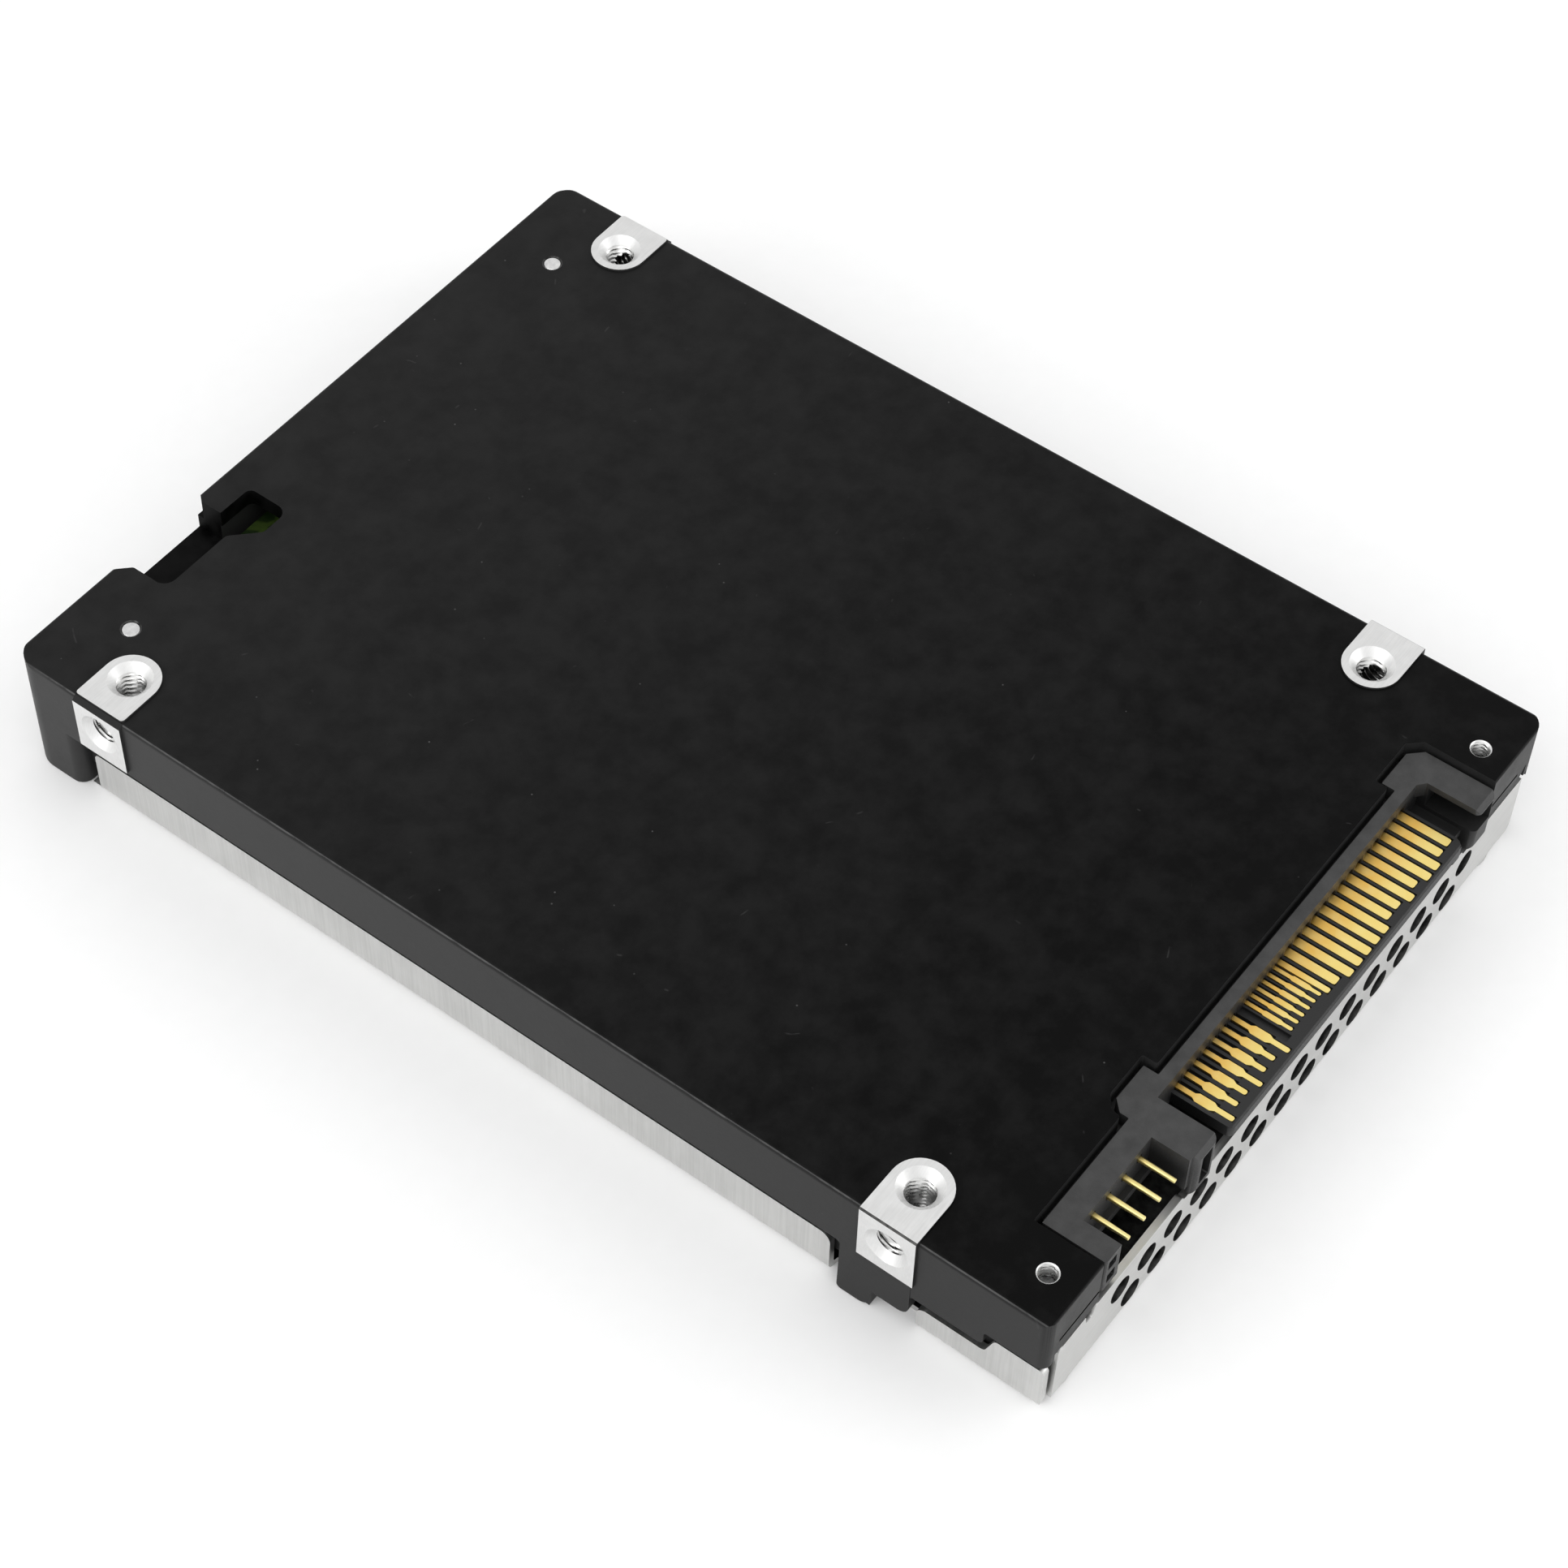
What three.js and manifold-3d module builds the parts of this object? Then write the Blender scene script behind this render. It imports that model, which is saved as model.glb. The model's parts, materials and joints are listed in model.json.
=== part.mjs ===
// A 2.5-inch solid state drive with a serial plug and a four-pin service header at one end.
// Millimetres. +Z is the mounting face, -Y is the connector end and X is the width. The drive lies on
// its steel cover, so z = 0 is the outside of the cover, and the origin is under the middle of the drive.
import * as THREE from "three";
import { mergeVertices } from "three/addons/utils/BufferGeometryUtils.js";
import Module from "manifold-3d";

const wasm = await Module();
wasm.setup();

// ---------------------------------------------------------------- driving dimensions

const WIDTH = 69.85; // across the machined side pads
const LENGTH = 100.2; // connector tip to far end
const HEIGHT = 12.7; // steel cover to machined mounting pads

const TIP_Y = -LENGTH / 2; // front of the plug's blade and guide arms
const FAR_Y = LENGTH / 2;
const REST_GAP = 0.05; // clearance between pieces that rest on each other
const FIT_GAP = 0.3; // clearance between pieces that nest

const DATUM_END_Y = TIP_Y + 0.3; // the end that the hole positions are measured from
const HOLE_FROM_END = [14.0, 90.6];
const HOLE_Y = HOLE_FROM_END.map((d) => DATUM_END_Y + d);
const HOLE_X = 61.72 / 2;
const SIDE_HOLE_DROP = 3.0; // side holes lie this far below the mounting pads
const M3_TAP_R = 1.28;
const M3_COUNTERSINK_R = 1.85;

// casting
const CAST = {
  halfWidth: WIDTH / 2 - 0.275,
  frontY: TIP_Y + 0.45,
  top: HEIGHT - 0.2,
  plate: 1.6,
  frontRadius: 1.0,
  farRadius: 2.3,
  outerWall: 1.4,
  innerWall: 1.2,
  frontWall: 1.45,
  skirtBottom: 6.16,
  innerBottom: 2.05,
  legBottom: 0.1,
};
const PLATE_UNDER = CAST.top - CAST.plate;

// steel cover
const SHEET = 0.6;
const COVER = {
  halfWidth: WIDTH / 2 - 0.775,
  frontY: CAST.frontY,
  farY: FAR_Y - 0.5,
  bend: 1.0,
  sideTop: 4.92,
  frontTop: 7.35,
  frontEndX: 32.4, // the front flange ends here on the +X side
  frontStartX: -33.4,
  rightNearY: -48.6, // near end of the +X side flange
  farNotchX: 28.9, // the floor is cut away beyond this for the casting's far legs
};
const FRONT_NOTCH = { x0: -29.6, x1: -28.3, z: 6.3 }; // small notch in the front flange's top edge

// machined pads and the feet beside the connector-end holes
const PAD_HALF = 2.5;
const SIDE_PAD = { bottom: 6.7, top: CAST.top };
const FOOT = {
  x: WIDTH / 2 - 0.1,
  near: -38.0,
  step: -34.9,
  toe: -34.55,
  far: -31.7,
  bottom: 0.15,
  shelf: 2.3,
};
const LEG_Y = 44.3; // far corner legs start here
const LEG_X = 29.5; // and end here along the far wall

// connector-end wall: posts at its ends, a band above the steel flange and a fine groove in the band
const FRONT_WALL = { postX: 33.5, postBottom: 6.5, bandBottom: 7.45, grooveDepth: 0.5 };
const FRONT_GROOVE = { x0: -33.1, x1: 31.2, low: 8.75, high: 9.05 };

// the notch and pocket in the far end
const FAR_NOTCH = { x0: -22.0, x1: -13.3, ledge: 9.0 };
const FLANGE_GAP = { near: -38.35, far: -30.6 }; // opening in the cover's flange around the foot
const HOOK_Y = -44.4; // step in the flange between the foot and the corner
const HOOK = { coverLow: 3.17, coverHigh: 5.32, castLow: 4.86, castHigh: 6.5 };

// vents in the cover's connector-end flange
const VENT = { pitch: 3.49, middleX: -0.4, r: 1.2, rows: [{ z: 4.8, count: 15 }, { z: 2.05, count: 14 }] };

// cover screws, driven from the cover side; their tips show in the mounting face
const COVER_SCREWS = [
  { name: "cover_screw_1", x: -31.0, y: -46.9, tip: 10.9 },
  { name: "cover_screw_2", x: 28.8, y: -47.0, tip: 10.9 },
  { name: "cover_screw_3", x: -26.9, y: 44.5, tip: 12.42 },
  { name: "cover_screw_4", x: 26.1, y: 44.5, tip: 12.42 },
];
const SCREW = { r: 0.95, headR: 1.9, headHeight: 0.7, socketR: 0.75, socketDepth: 0.4 };
const DIMPLE = { r: 2.1, floor: 1.1 };
const SCREW_BOSS_R = 1.8;

// plug and header housing
const CONTACT_PITCH = 1.27;
const SIDEBAND_PITCH = 0.8;
const PLUG_X = 5.16; // middle of the contact rows
const SIGNAL_X = PLUG_X - 31.75 / 2; // first signal contact
const POWER_X = PLUG_X + 31.75 / 2 - 14 * CONTACT_PITCH; // first power contact
const SIDEBAND_X = -1.3;
const BLADE = { x0: PLUG_X - 33.39 / 2, x1: PLUG_X + 33.39 / 2, top: 10.1, thick: 1.23, backY: -44.75 };
const HOUSING = { top: 12.05, bottom: 7.1, clearance: 0.45 };
const LEFT_ARM = { x0: -16.4, x1: -13.7 };
const RIGHT_ARM = { x0: 23.6, x1: 26.2 };
const ARM_SLOT = { half: 0.6, low: 7.9, high: 11.4, depth: 2.2 };
const ARM_RECESS = { x1: 25.75, low: 9.4, high: 11.45, depth: 3.4 }; // the +X arm is open towards the blade
const HEADER = {
  x0: -27.6,
  wall: 1.95,
  right: -16.85,
  backY: -46.3,
  bottom: 8.1,
  floor: 0.8,
  frontY: -49.6,
  floorFrontY: -48.6,
};
const HEADER_HOLE = { x0: 0.4, x1: 1.5, depth: 1.2, rows: [[8.9, 10.0], [10.8, 11.6]] };
const BLADE_KEY = { width: 0.9, reach: 0.3, drop: 1.0 };
const BLADE_GROOVE = { x0: -2.5, x1: -1.85, depth: 0.35 }; // between the two contact groups
const PIN = { x0: -24.25, pitch: 2.0, count: 4, half: 0.25, z: 10.9, tipY: -49.45 };
const CONTACT_THICK = 0.15;

// back edges of the housing from the header to the +X arm, and where each level changes to the next
const CUTOUT = { headerY: -44.1, bladeY: -43.7, shoulderY: -42.4, armY: -42.5 };
const CUTOUT_X = { headerEnd: -16.5, ramp: -15.6, shoulderEnd: -12.0, armStart: 21.4 };
const TAIL_BACK_Y = -41.2; // the housing's shelf reaches this far over the board

// boards and what they carry
const BOARD = { bottom: 7.3, thick: 1.2, halfWidth: 31.2, frontY: -43.3, farY: 47.15 };
const BOARD_TOP = BOARD.bottom + BOARD.thick;
const BOARD_SCREWS = [
  { name: "board_screw_1", x: -24.5, y: -27.0 },
  { name: "board_screw_2", x: 24.5, y: -27.0 },
  { name: "board_screw_3", x: -24.5, y: 30.0 },
  { name: "board_screw_4", x: 24.5, y: 30.0 },
];
const POST_R = 1.9;

// ---------------------------------------------------------------- solids

function solid(geometry) {
  const bare = geometry.index ? geometry.toNonIndexed() : geometry.clone();
  bare.deleteAttribute("normal");
  bare.deleteAttribute("uv");
  const merged = mergeVertices(bare, 1e-4);
  const vertProperties = new Float32Array(merged.attributes.position.array);
  const triVerts = new Uint32Array(merged.index.array);
  return new wasm.Manifold(new wasm.Mesh({ numProp: 3, vertProperties, triVerts }));
}

function geometryOf(body) {
  const mesh = body.getMesh();
  const geometry = new THREE.BufferGeometry();
  geometry.setAttribute("position", new THREE.BufferAttribute(new Float32Array(mesh.vertProperties), 3));
  geometry.setIndex(new THREE.BufferAttribute(new Uint32Array(mesh.triVerts), 1));
  geometry.computeVertexNormals();
  return geometry;
}

const add = (...bodies) => bodies.reduce((all, body) => all.add(body));
const cut = (body, ...tools) => tools.reduce((rest, tool) => rest.subtract(tool), body);

function block(x0, x1, y0, y1, z0, z1) {
  const geometry = new THREE.BoxGeometry(x1 - x0, y1 - y0, z1 - z0);
  geometry.translate((x0 + x1) / 2, (y0 + y1) / 2, (z0 + z1) / 2);
  return solid(geometry);
}

// The same block on both sides of the middle, given for the +X side.
const pair = (x0, x1, ...rest) => add(block(x0, x1, ...rest), block(-x1, -x0, ...rest));

function prism(shape, z0, z1, curveSegments = 6) {
  const geometry = new THREE.ExtrudeGeometry(shape, { depth: z1 - z0, bevelEnabled: false, curveSegments });
  geometry.translate(0, 0, z0);
  return solid(geometry);
}

function rod(radius, x, y, z0, z1, segments = 20, topRadius = radius) {
  const geometry = new THREE.CylinderGeometry(topRadius, radius, z1 - z0, segments);
  geometry.rotateX(Math.PI / 2);
  geometry.translate(x, y, (z0 + z1) / 2);
  return solid(geometry);
}

// A rod or cone along X from x0 to x1.
function crossRod(radius, x0, x1, y, z, segments = 20, endRadius = radius) {
  const geometry = new THREE.CylinderGeometry(radius, endRadius, Math.abs(x1 - x0), segments);
  geometry.rotateZ(x1 > x0 ? Math.PI / 2 : -Math.PI / 2);
  geometry.translate((x0 + x1) / 2, y, z);
  return solid(geometry);
}

function polygon(points) {
  const shape = new THREE.Shape();
  points.forEach(([x, y], i) => (i ? shape.lineTo(x, y) : shape.moveTo(x, y)));
  return shape;
}

// A rectangle whose -Y and +Y corners have their own radii.
function roundedOutline(half, y0, y1, nearRadius, farRadius) {
  const shape = new THREE.Shape();
  const [n, f] = [nearRadius, farRadius];
  shape.moveTo(-half + n, y0);
  shape.lineTo(half - n, y0);
  shape.absarc(half - n, y0 + n, n, -Math.PI / 2, 0);
  shape.lineTo(half, y1 - f);
  shape.absarc(half - f, y1 - f, f, 0, Math.PI / 2);
  shape.lineTo(-half + f, y1);
  shape.absarc(-half + f, y1 - f, f, Math.PI / 2, Math.PI);
  shape.lineTo(-half, y0 + n);
  shape.absarc(-half + n, y0 + n, n, Math.PI, Math.PI * 1.5);
  return shape;
}

// The housing's outline seen from the mounting face, grown by a margin to make the casting's cutout.
function plugOutline(margin, frontY) {
  const left = HEADER.x0 - margin;
  const right = RIGHT_ARM.x1 + margin;
  const chamfer = 1.1;
  const rampDrop = 0.9;
  return polygon([
    [left, frontY],
    [right, frontY],
    [right, CUTOUT.armY + margin - chamfer],
    [right - chamfer, CUTOUT.armY + margin],
    [CUTOUT_X.armStart - margin, CUTOUT.armY + margin],
    [CUTOUT_X.armStart - margin, CUTOUT.bladeY + margin],
    [CUTOUT_X.shoulderEnd + margin, CUTOUT.bladeY + margin],
    [CUTOUT_X.shoulderEnd + margin, CUTOUT.shoulderY + margin],
    [CUTOUT_X.ramp, CUTOUT.shoulderY + margin],
    [CUTOUT_X.headerEnd - margin, CUTOUT.shoulderY - rampDrop + margin],
    [CUTOUT_X.headerEnd - margin, CUTOUT.headerY + margin],
    [left, CUTOUT.headerY + margin],
  ]);
}

// ---------------------------------------------------------------- base casting

// The access notch and pocket in the far end of the mounting face.
function farNotch() {
  const shape = new THREE.Shape();
  shape.moveTo(FAR_NOTCH.x0 - 1.4, FAR_Y + 0.5);
  shape.lineTo(FAR_NOTCH.x0, FAR_Y - 1.2);
  shape.lineTo(FAR_NOTCH.x0, 46.35);
  shape.absarc(-20.9, 46.35, 1.1, Math.PI, Math.PI * 1.5);
  shape.lineTo(-15.0, 45.25);
  shape.lineTo(-12.9, 43.25);
  shape.lineTo(-12.3, 43.1);
  shape.lineTo(-10.8, 43.1);
  shape.absarc(-10.8, 44.1, 1.0, -Math.PI / 2, 0);
  shape.lineTo(-9.8, 46.65);
  shape.absarc(-10.4, 46.65, 0.6, 0, Math.PI / 2);
  shape.lineTo(-13.0, 47.25);
  shape.lineTo(-14.8, 47.6);
  shape.lineTo(-12.2, FAR_Y + 0.5);
  return prism(shape, PLATE_UNDER - 0.5, HEIGHT);
}

// Outer walls and the inner walls that stand behind the cover's flanges.
function castingWalls() {
  const thickness = CAST.outerWall + CAST.innerWall;
  const outline = roundedOutline(CAST.halfWidth, CAST.frontY, FAR_Y, CAST.frontRadius, CAST.farRadius);
  const hollow = block(
    -CAST.halfWidth + thickness, CAST.halfWidth - thickness,
    CAST.frontY + CAST.frontWall, FAR_Y - thickness, -1, PLATE_UNDER,
  );
  let walls = cut(prism(outline, CAST.legBottom, CAST.top), hollow);
  const skin = CAST.halfWidth - CAST.outerWall; // outer walls are cut back to this beside the flanges
  const outside = CAST.halfWidth + 1;
  const below = -1;
  const frontWallBack = CAST.frontY + CAST.frontWall + 0.6;
  walls = cut(
    walls,
    pair(skin, outside, FOOT.far, LEG_Y, below, CAST.skirtBottom),
    pair(skin, outside, HOOK_Y, FOOT.near, below, HOOK.castLow),
    pair(skin, outside, CAST.frontY - 1, HOOK_Y, below, HOOK.castHigh),
    pair(skin - CAST.innerWall - 1, outside, FOOT.near, FOOT.step, below, FOOT.shelf),
    pair(skin - CAST.innerWall - 1, skin, CAST.frontY - 1, LEG_Y, below, CAST.innerBottom),
    // far wall between the corner legs
    block(-LEG_X, LEG_X, FAR_Y - CAST.outerWall, FAR_Y + 1, below, CAST.skirtBottom),
    block(-LEG_X, LEG_X, FAR_Y - thickness - 1, FAR_Y - CAST.outerWall, below, CAST.innerBottom),
    // connector-end wall above the cover's flange, between short corner posts
    block(-outside, outside, CAST.frontY - 1, frontWallBack, below, FRONT_WALL.postBottom),
    block(-FRONT_WALL.postX, FRONT_WALL.postX, CAST.frontY - 1, frontWallBack, below, FRONT_WALL.bandBottom),
    block(
      FRONT_GROOVE.x0, FRONT_GROOVE.x1,
      CAST.frontY - 1, CAST.frontY + FRONT_WALL.grooveDepth, FRONT_GROOVE.low, FRONT_GROOVE.high,
    ),
    // ledge under the far notch
    block(FAR_NOTCH.x0, FAR_NOTCH.x1, FAR_Y - thickness - 1, FAR_Y + 1, FAR_NOTCH.ledge, HEIGHT),
  );
  return walls;
}

// The solid metal behind one pair of mounting holes, with its machined top and side pads.
function mountingBoss(side, holeY) {
  const edge = WIDTH / 2;
  const skin = CAST.halfWidth - 0.2;
  const across = (x0, x1, ...rest) => (side > 0 ? block(x0, x1, ...rest) : block(-x1, -x0, ...rest));
  const low = holeY - PAD_HALF;
  const high = holeY + PAD_HALF;
  return add(
    across(HOLE_X - 2.6, skin, holeY - 3.2, holeY + 3.2, SIDE_PAD.bottom - 0.5, PLATE_UNDER + 0.2),
    across(HOLE_X, edge, low, high, CAST.top - 0.2, HEIGHT),
    rod(PAD_HALF, side * HOLE_X, holeY, CAST.top - 0.2, HEIGHT, 24),
    across(skin, edge, low, high, SIDE_PAD.bottom, SIDE_PAD.top),
  );
}

// The countersunk M3 holes of one mounting boss, as tools to cut with.
function mountingHoles(side, holeY) {
  const x = side * HOLE_X;
  const edge = (side * WIDTH) / 2;
  const sideZ = HEIGHT - SIDE_HOLE_DROP;
  const lip = M3_COUNTERSINK_R - M3_TAP_R;
  return [
    rod(M3_TAP_R, x, holeY, HEIGHT - 5.2, HEIGHT + 0.1),
    rod(M3_TAP_R, x, holeY, HEIGHT - lip, HEIGHT + 0.001, 20, M3_COUNTERSINK_R),
    crossRod(M3_TAP_R, edge + side * 0.1, edge - side * 3.2, holeY, sideZ),
    crossRod(M3_COUNTERSINK_R, edge + side * 0.001, edge - side * lip, holeY, sideZ, 20, M3_TAP_R),
  ];
}

// The foot and shelf that fill the opening in the cover's flange.
function sideFoot(side) {
  const inner = CAST.halfWidth - CAST.outerWall;
  const [x0, x1] = side > 0 ? [inner, FOOT.x] : [-FOOT.x, -inner];
  const across = (y0, y1, z0, z1) => block(x0, x1, y0, y1, z0, z1);
  return add(
    across(FOOT.toe, FOOT.far, FOOT.bottom, CAST.skirtBottom + 1),
    across(FOOT.near, FOOT.toe, FOOT.shelf, CAST.skirtBottom + 1),
  );
}

function baseCasting() {
  const outline = roundedOutline(CAST.halfWidth, CAST.frontY, FAR_Y, CAST.frontRadius, CAST.farRadius);
  const plate = prism(outline, PLATE_UNDER, CAST.top);
  const sides = [-1, 1];
  const bosses = sides.flatMap((side) => HOLE_Y.map((y) => mountingBoss(side, y)));
  const holes = sides.flatMap((side) => HOLE_Y.flatMap((y) => mountingHoles(side, y)));
  const bossFoot = DIMPLE.floor + SHEET + 0.1;
  const screwBosses = COVER_SCREWS.map((s) => rod(SCREW_BOSS_R, s.x, s.y, bossFoot, CAST.top - 0.2));
  const screwHoles = COVER_SCREWS.map((s) => rod(SCREW.r + REST_GAP, s.x, s.y, -1, HEIGHT + 1, 16));
  const holeR = SCREW.r + REST_GAP;
  const posts = BOARD_SCREWS.map((s) => rod(POST_R, s.x, s.y, BOARD_TOP + REST_GAP, PLATE_UNDER + 0.2, 16));
  const postHoles = BOARD_SCREWS.map((s) => rod(holeR, s.x, s.y, BOARD_TOP - 1, PLATE_UNDER + 0.4, 16));
  const plugCut = prism(plugOutline(HOUSING.clearance, CAST.frontY - 1), -1, HEIGHT + 1);
  return cut(
    add(plate, castingWalls(), ...bosses, ...sides.map(sideFoot), ...screwBosses, ...posts),
    ...holes, ...screwHoles, ...postHoles, plugCut, farNotch(),
  );
}

// ---------------------------------------------------------------- steel cover

// A bent pan wall's section: the outside of the flange with its rounded bend at the bottom.
function bendTool(length) {
  const shape = new THREE.Shape();
  shape.moveTo(-1, -1);
  shape.lineTo(COVER.bend, -1);
  shape.lineTo(COVER.bend, 0);
  shape.absarc(COVER.bend, COVER.bend, COVER.bend, Math.PI * 1.5, Math.PI, true);
  shape.lineTo(-1, COVER.bend);
  const geometry = new THREE.ExtrudeGeometry(shape, { depth: length, bevelEnabled: false, curveSegments: 4 });
  geometry.rotateX(Math.PI / 2);
  geometry.translate(0, length / 2, 0);
  return geometry;
}

// Rounds the pan's bottom edge along one wall; turn is the wall's heading about Z.
function roundBend(pan, x, y, turn, length) {
  const geometry = bendTool(length);
  geometry.rotateZ(turn);
  geometry.translate(x, y, 0);
  return cut(pan, solid(geometry));
}

function vents() {
  return VENT.rows.flatMap(({ z, count }) =>
    Array.from({ length: count }, (_, i) => {
      const geometry = new THREE.CylinderGeometry(VENT.r, VENT.r, 2, 14);
      geometry.translate(VENT.middleX + (i - (count - 1) / 2) * VENT.pitch, COVER.frontY, z);
      return solid(geometry);
    }),
  );
}

function steelCover() {
  const { halfWidth: half, frontY, farY } = COVER;
  const outer = block(-half, half, frontY, farY, 0, COVER.frontTop);
  const inner = block(-half + SHEET, half - SHEET, frontY + SHEET, farY - SHEET, SHEET, COVER.frontTop + 1);
  const above = COVER.frontTop + 1;
  const outside = half + 1;
  const inside = half - SHEET - 0.1;
  const frontCut = (x0, x1, z) => block(x0, x1, frontY - 1, frontY + SHEET + 0.1, z, above);
  const dimples = COVER_SCREWS.map((s) => rod(DIMPLE.r + SHEET, s.x, s.y, 0, DIMPLE.floor + SHEET, 24));
  let pan = add(cut(outer, inner), ...dimples);
  pan = roundBend(pan, -half, 0, 0, LENGTH + 2);
  pan = roundBend(pan, half, 0, Math.PI, LENGTH + 2);
  pan = roundBend(pan, 0, frontY, Math.PI / 2, WIDTH + 2);
  pan = roundBend(pan, 0, farY, -Math.PI / 2, WIDTH + 2);
  pan = cut(
    pan,
    // side flanges: low beside the walls, stepped beside the connector, open around the foot
    pair(inside, outside, HOOK_Y, farY + 1, COVER.sideTop, above),
    pair(inside, outside, HOOK_Y, FLANGE_GAP.near, HOOK.coverLow, above),
    pair(inside, outside, frontY + SHEET + 0.1, HOOK_Y, HOOK.coverHigh, above),
    pair(half - 1.3, outside, FLANGE_GAP.near, FLANGE_GAP.far, -1, above),
    // corner reliefs: the front flange stops short of the side flanges, the floor clears the casting's legs
    block(-half + SHEET, COVER.frontStartX, frontY - 1, frontY + SHEET, COVER.bend, above),
    block(-outside, COVER.frontStartX, frontY - 1, frontY + SHEET + 0.1, HOOK.coverHigh, above),
    block(COVER.frontEndX, outside, frontY - 1, COVER.rightNearY, COVER.bend, above),
    pair(COVER.farNotchX, outside, LEG_Y - FIT_GAP, farY + 1, -1, above),
    block(-outside, outside, farY - SHEET - 0.1, farY + 1, COVER.sideTop, above),
    // the small notch, and clearance under the plug's guide arms
    frontCut(FRONT_NOTCH.x0, FRONT_NOTCH.x1, FRONT_NOTCH.z),
    frontCut(LEFT_ARM.x0 - FIT_GAP, LEFT_ARM.x1 + FIT_GAP, HOUSING.bottom - FIT_GAP),
    frontCut(RIGHT_ARM.x0 - FIT_GAP, RIGHT_ARM.x1 + FIT_GAP, HOUSING.bottom - FIT_GAP),
    ...vents(),
  );
  const pockets = COVER_SCREWS.map((s) => rod(DIMPLE.r, s.x, s.y, -1, DIMPLE.floor, 24));
  const holes = COVER_SCREWS.map((s) => rod(SCREW.r + 0.15, s.x, s.y, -1, DIMPLE.floor + 1, 16));
  return cut(pan, ...pockets, ...holes);
}

// ---------------------------------------------------------------- plug, header and contacts

function connectorHousing() {
  const { top, bottom } = HOUSING;
  const backWall = cut(
    prism(plugOutline(0, BLADE.backY), 8.8, top),
    block(HEADER.x0 - 1, HEADER.right, TIP_Y - 1, BLADE.backY + 0.05, bottom - 1, top + 1),
  );
  const back = BLADE.backY + 0.5;
  const arm = ({ x0, x1 }) => block(x0, x1, TIP_Y, back, bottom, top);
  const slotX = (LEFT_ARM.x0 + LEFT_ARM.x1) / 2;
  const leftArm = cut(
    arm(LEFT_ARM),
    block(
      slotX - ARM_SLOT.half, slotX + ARM_SLOT.half,
      TIP_Y - 1, TIP_Y + ARM_SLOT.depth, ARM_SLOT.low, ARM_SLOT.high,
    ),
  );
  const rightArm = cut(
    arm(RIGHT_ARM),
    block(
      RIGHT_ARM.x0 - 1, ARM_RECESS.x1, TIP_Y - 1, TIP_Y + ARM_RECESS.depth, ARM_RECESS.low, ARM_RECESS.high,
    ),
  );
  const bladeUnder = BLADE.top - BLADE.thick;
  const blade = block(BLADE.x0, BLADE.x1, TIP_Y, back, bladeUnder, BLADE.top);
  const key = block(
    BLADE.x1 - BLADE_KEY.width, BLADE.x1 + BLADE_KEY.reach,
    TIP_Y + 0.1, back, bladeUnder - BLADE_KEY.drop, BLADE.top,
  );
  const pocketX = HEADER.x0 + HEADER.wall;
  const pocketFloor = HEADER.bottom + HEADER.floor;
  const header = cut(
    block(HEADER.x0, LEFT_ARM.x0 + 0.2, HEADER.frontY, CUTOUT.headerY, HEADER.bottom, top),
    block(pocketX, HEADER.right, HEADER.frontY - 1, HEADER.backY, pocketFloor, top + 1),
    block(pocketX, HEADER.right, HEADER.frontY - 1, HEADER.floorFrontY, HEADER.bottom - 1, top + 1),
    ...HEADER_HOLE.rows.map(([low, high]) => block(
      HEADER.x0 + HEADER_HOLE.x0, HEADER.x0 + HEADER_HOLE.x1,
      HEADER.frontY - 1, HEADER.frontY + HEADER_HOLE.depth, low, high,
    )),
  );
  const tailShelf = block(
    HEADER.x0 + 1, RIGHT_ARM.x1 - 1,
    CUTOUT.headerY, TAIL_BACK_Y, BOARD_TOP + REST_GAP, PLATE_UNDER - FIT_GAP,
  );
  const groove = block(
    BLADE_GROOVE.x0, BLADE_GROOVE.x1,
    TIP_Y - 1, BLADE.backY, BLADE.top - BLADE_GROOVE.depth, BLADE.top + 1,
  );
  return cut(add(backWall, leftArm, rightArm, blade, key, header, tailShelf), groove, ...pinHoles());
}

const pinX = (i) => PIN.x0 + i * PIN.pitch;
const pinHoles = () => Array.from({ length: PIN.count }, (_, i) => {
  const half = PIN.half + REST_GAP;
  const x = pinX(i);
  return block(x - half, x + half, HEADER.backY - 1, HEADER.backY + 1.25, PIN.z - half, PIN.z + half);
});

// A service pin: square wire with a pointed tip.
function servicePin(i) {
  const h = PIN.half;
  const wire = block(pinX(i) - h, pinX(i) + h, PIN.tipY + 0.4, HEADER.backY + 1.2, PIN.z - h, PIN.z + h);
  const tip = new THREE.CylinderGeometry(h * Math.SQRT2, h * 0.6, 0.4, 4);
  tip.rotateY(Math.PI / 4);
  tip.translate(pinX(i), PIN.tipY + 0.2, PIN.z);
  return add(wire, solid(tip));
}

// A contact strip on the blade, as an outline of half-widths along Y, given from the back to the tip.
function contact(x, stations) {
  const right = stations.map(([y, half]) => [x + half, y]);
  const left = stations.map(([y, half]) => [x - half, y]).reverse();
  const z0 = BLADE.top + REST_GAP / 2;
  return prism(polygon([...right, ...left].reverse()), z0, z0 + CONTACT_THICK);
}

const CONTACT_BACK = BLADE.backY - 0.06;
const LONG_TIP = -49.7;
const SHORT_TIP = -49.2;

const signalContact = (i) => contact(SIGNAL_X + i * CONTACT_PITCH, [
  [CONTACT_BACK, 0.23],
  [-46.2, 0.23],
  [-46.5, 0.43],
  [-47.8, 0.43],
  [-48.15, 0.24],
  [(i % 3 === 0 ? LONG_TIP : SHORT_TIP) + 0.15, 0.24],
  [i % 3 === 0 ? LONG_TIP : SHORT_TIP, 0.12],
]);

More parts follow.
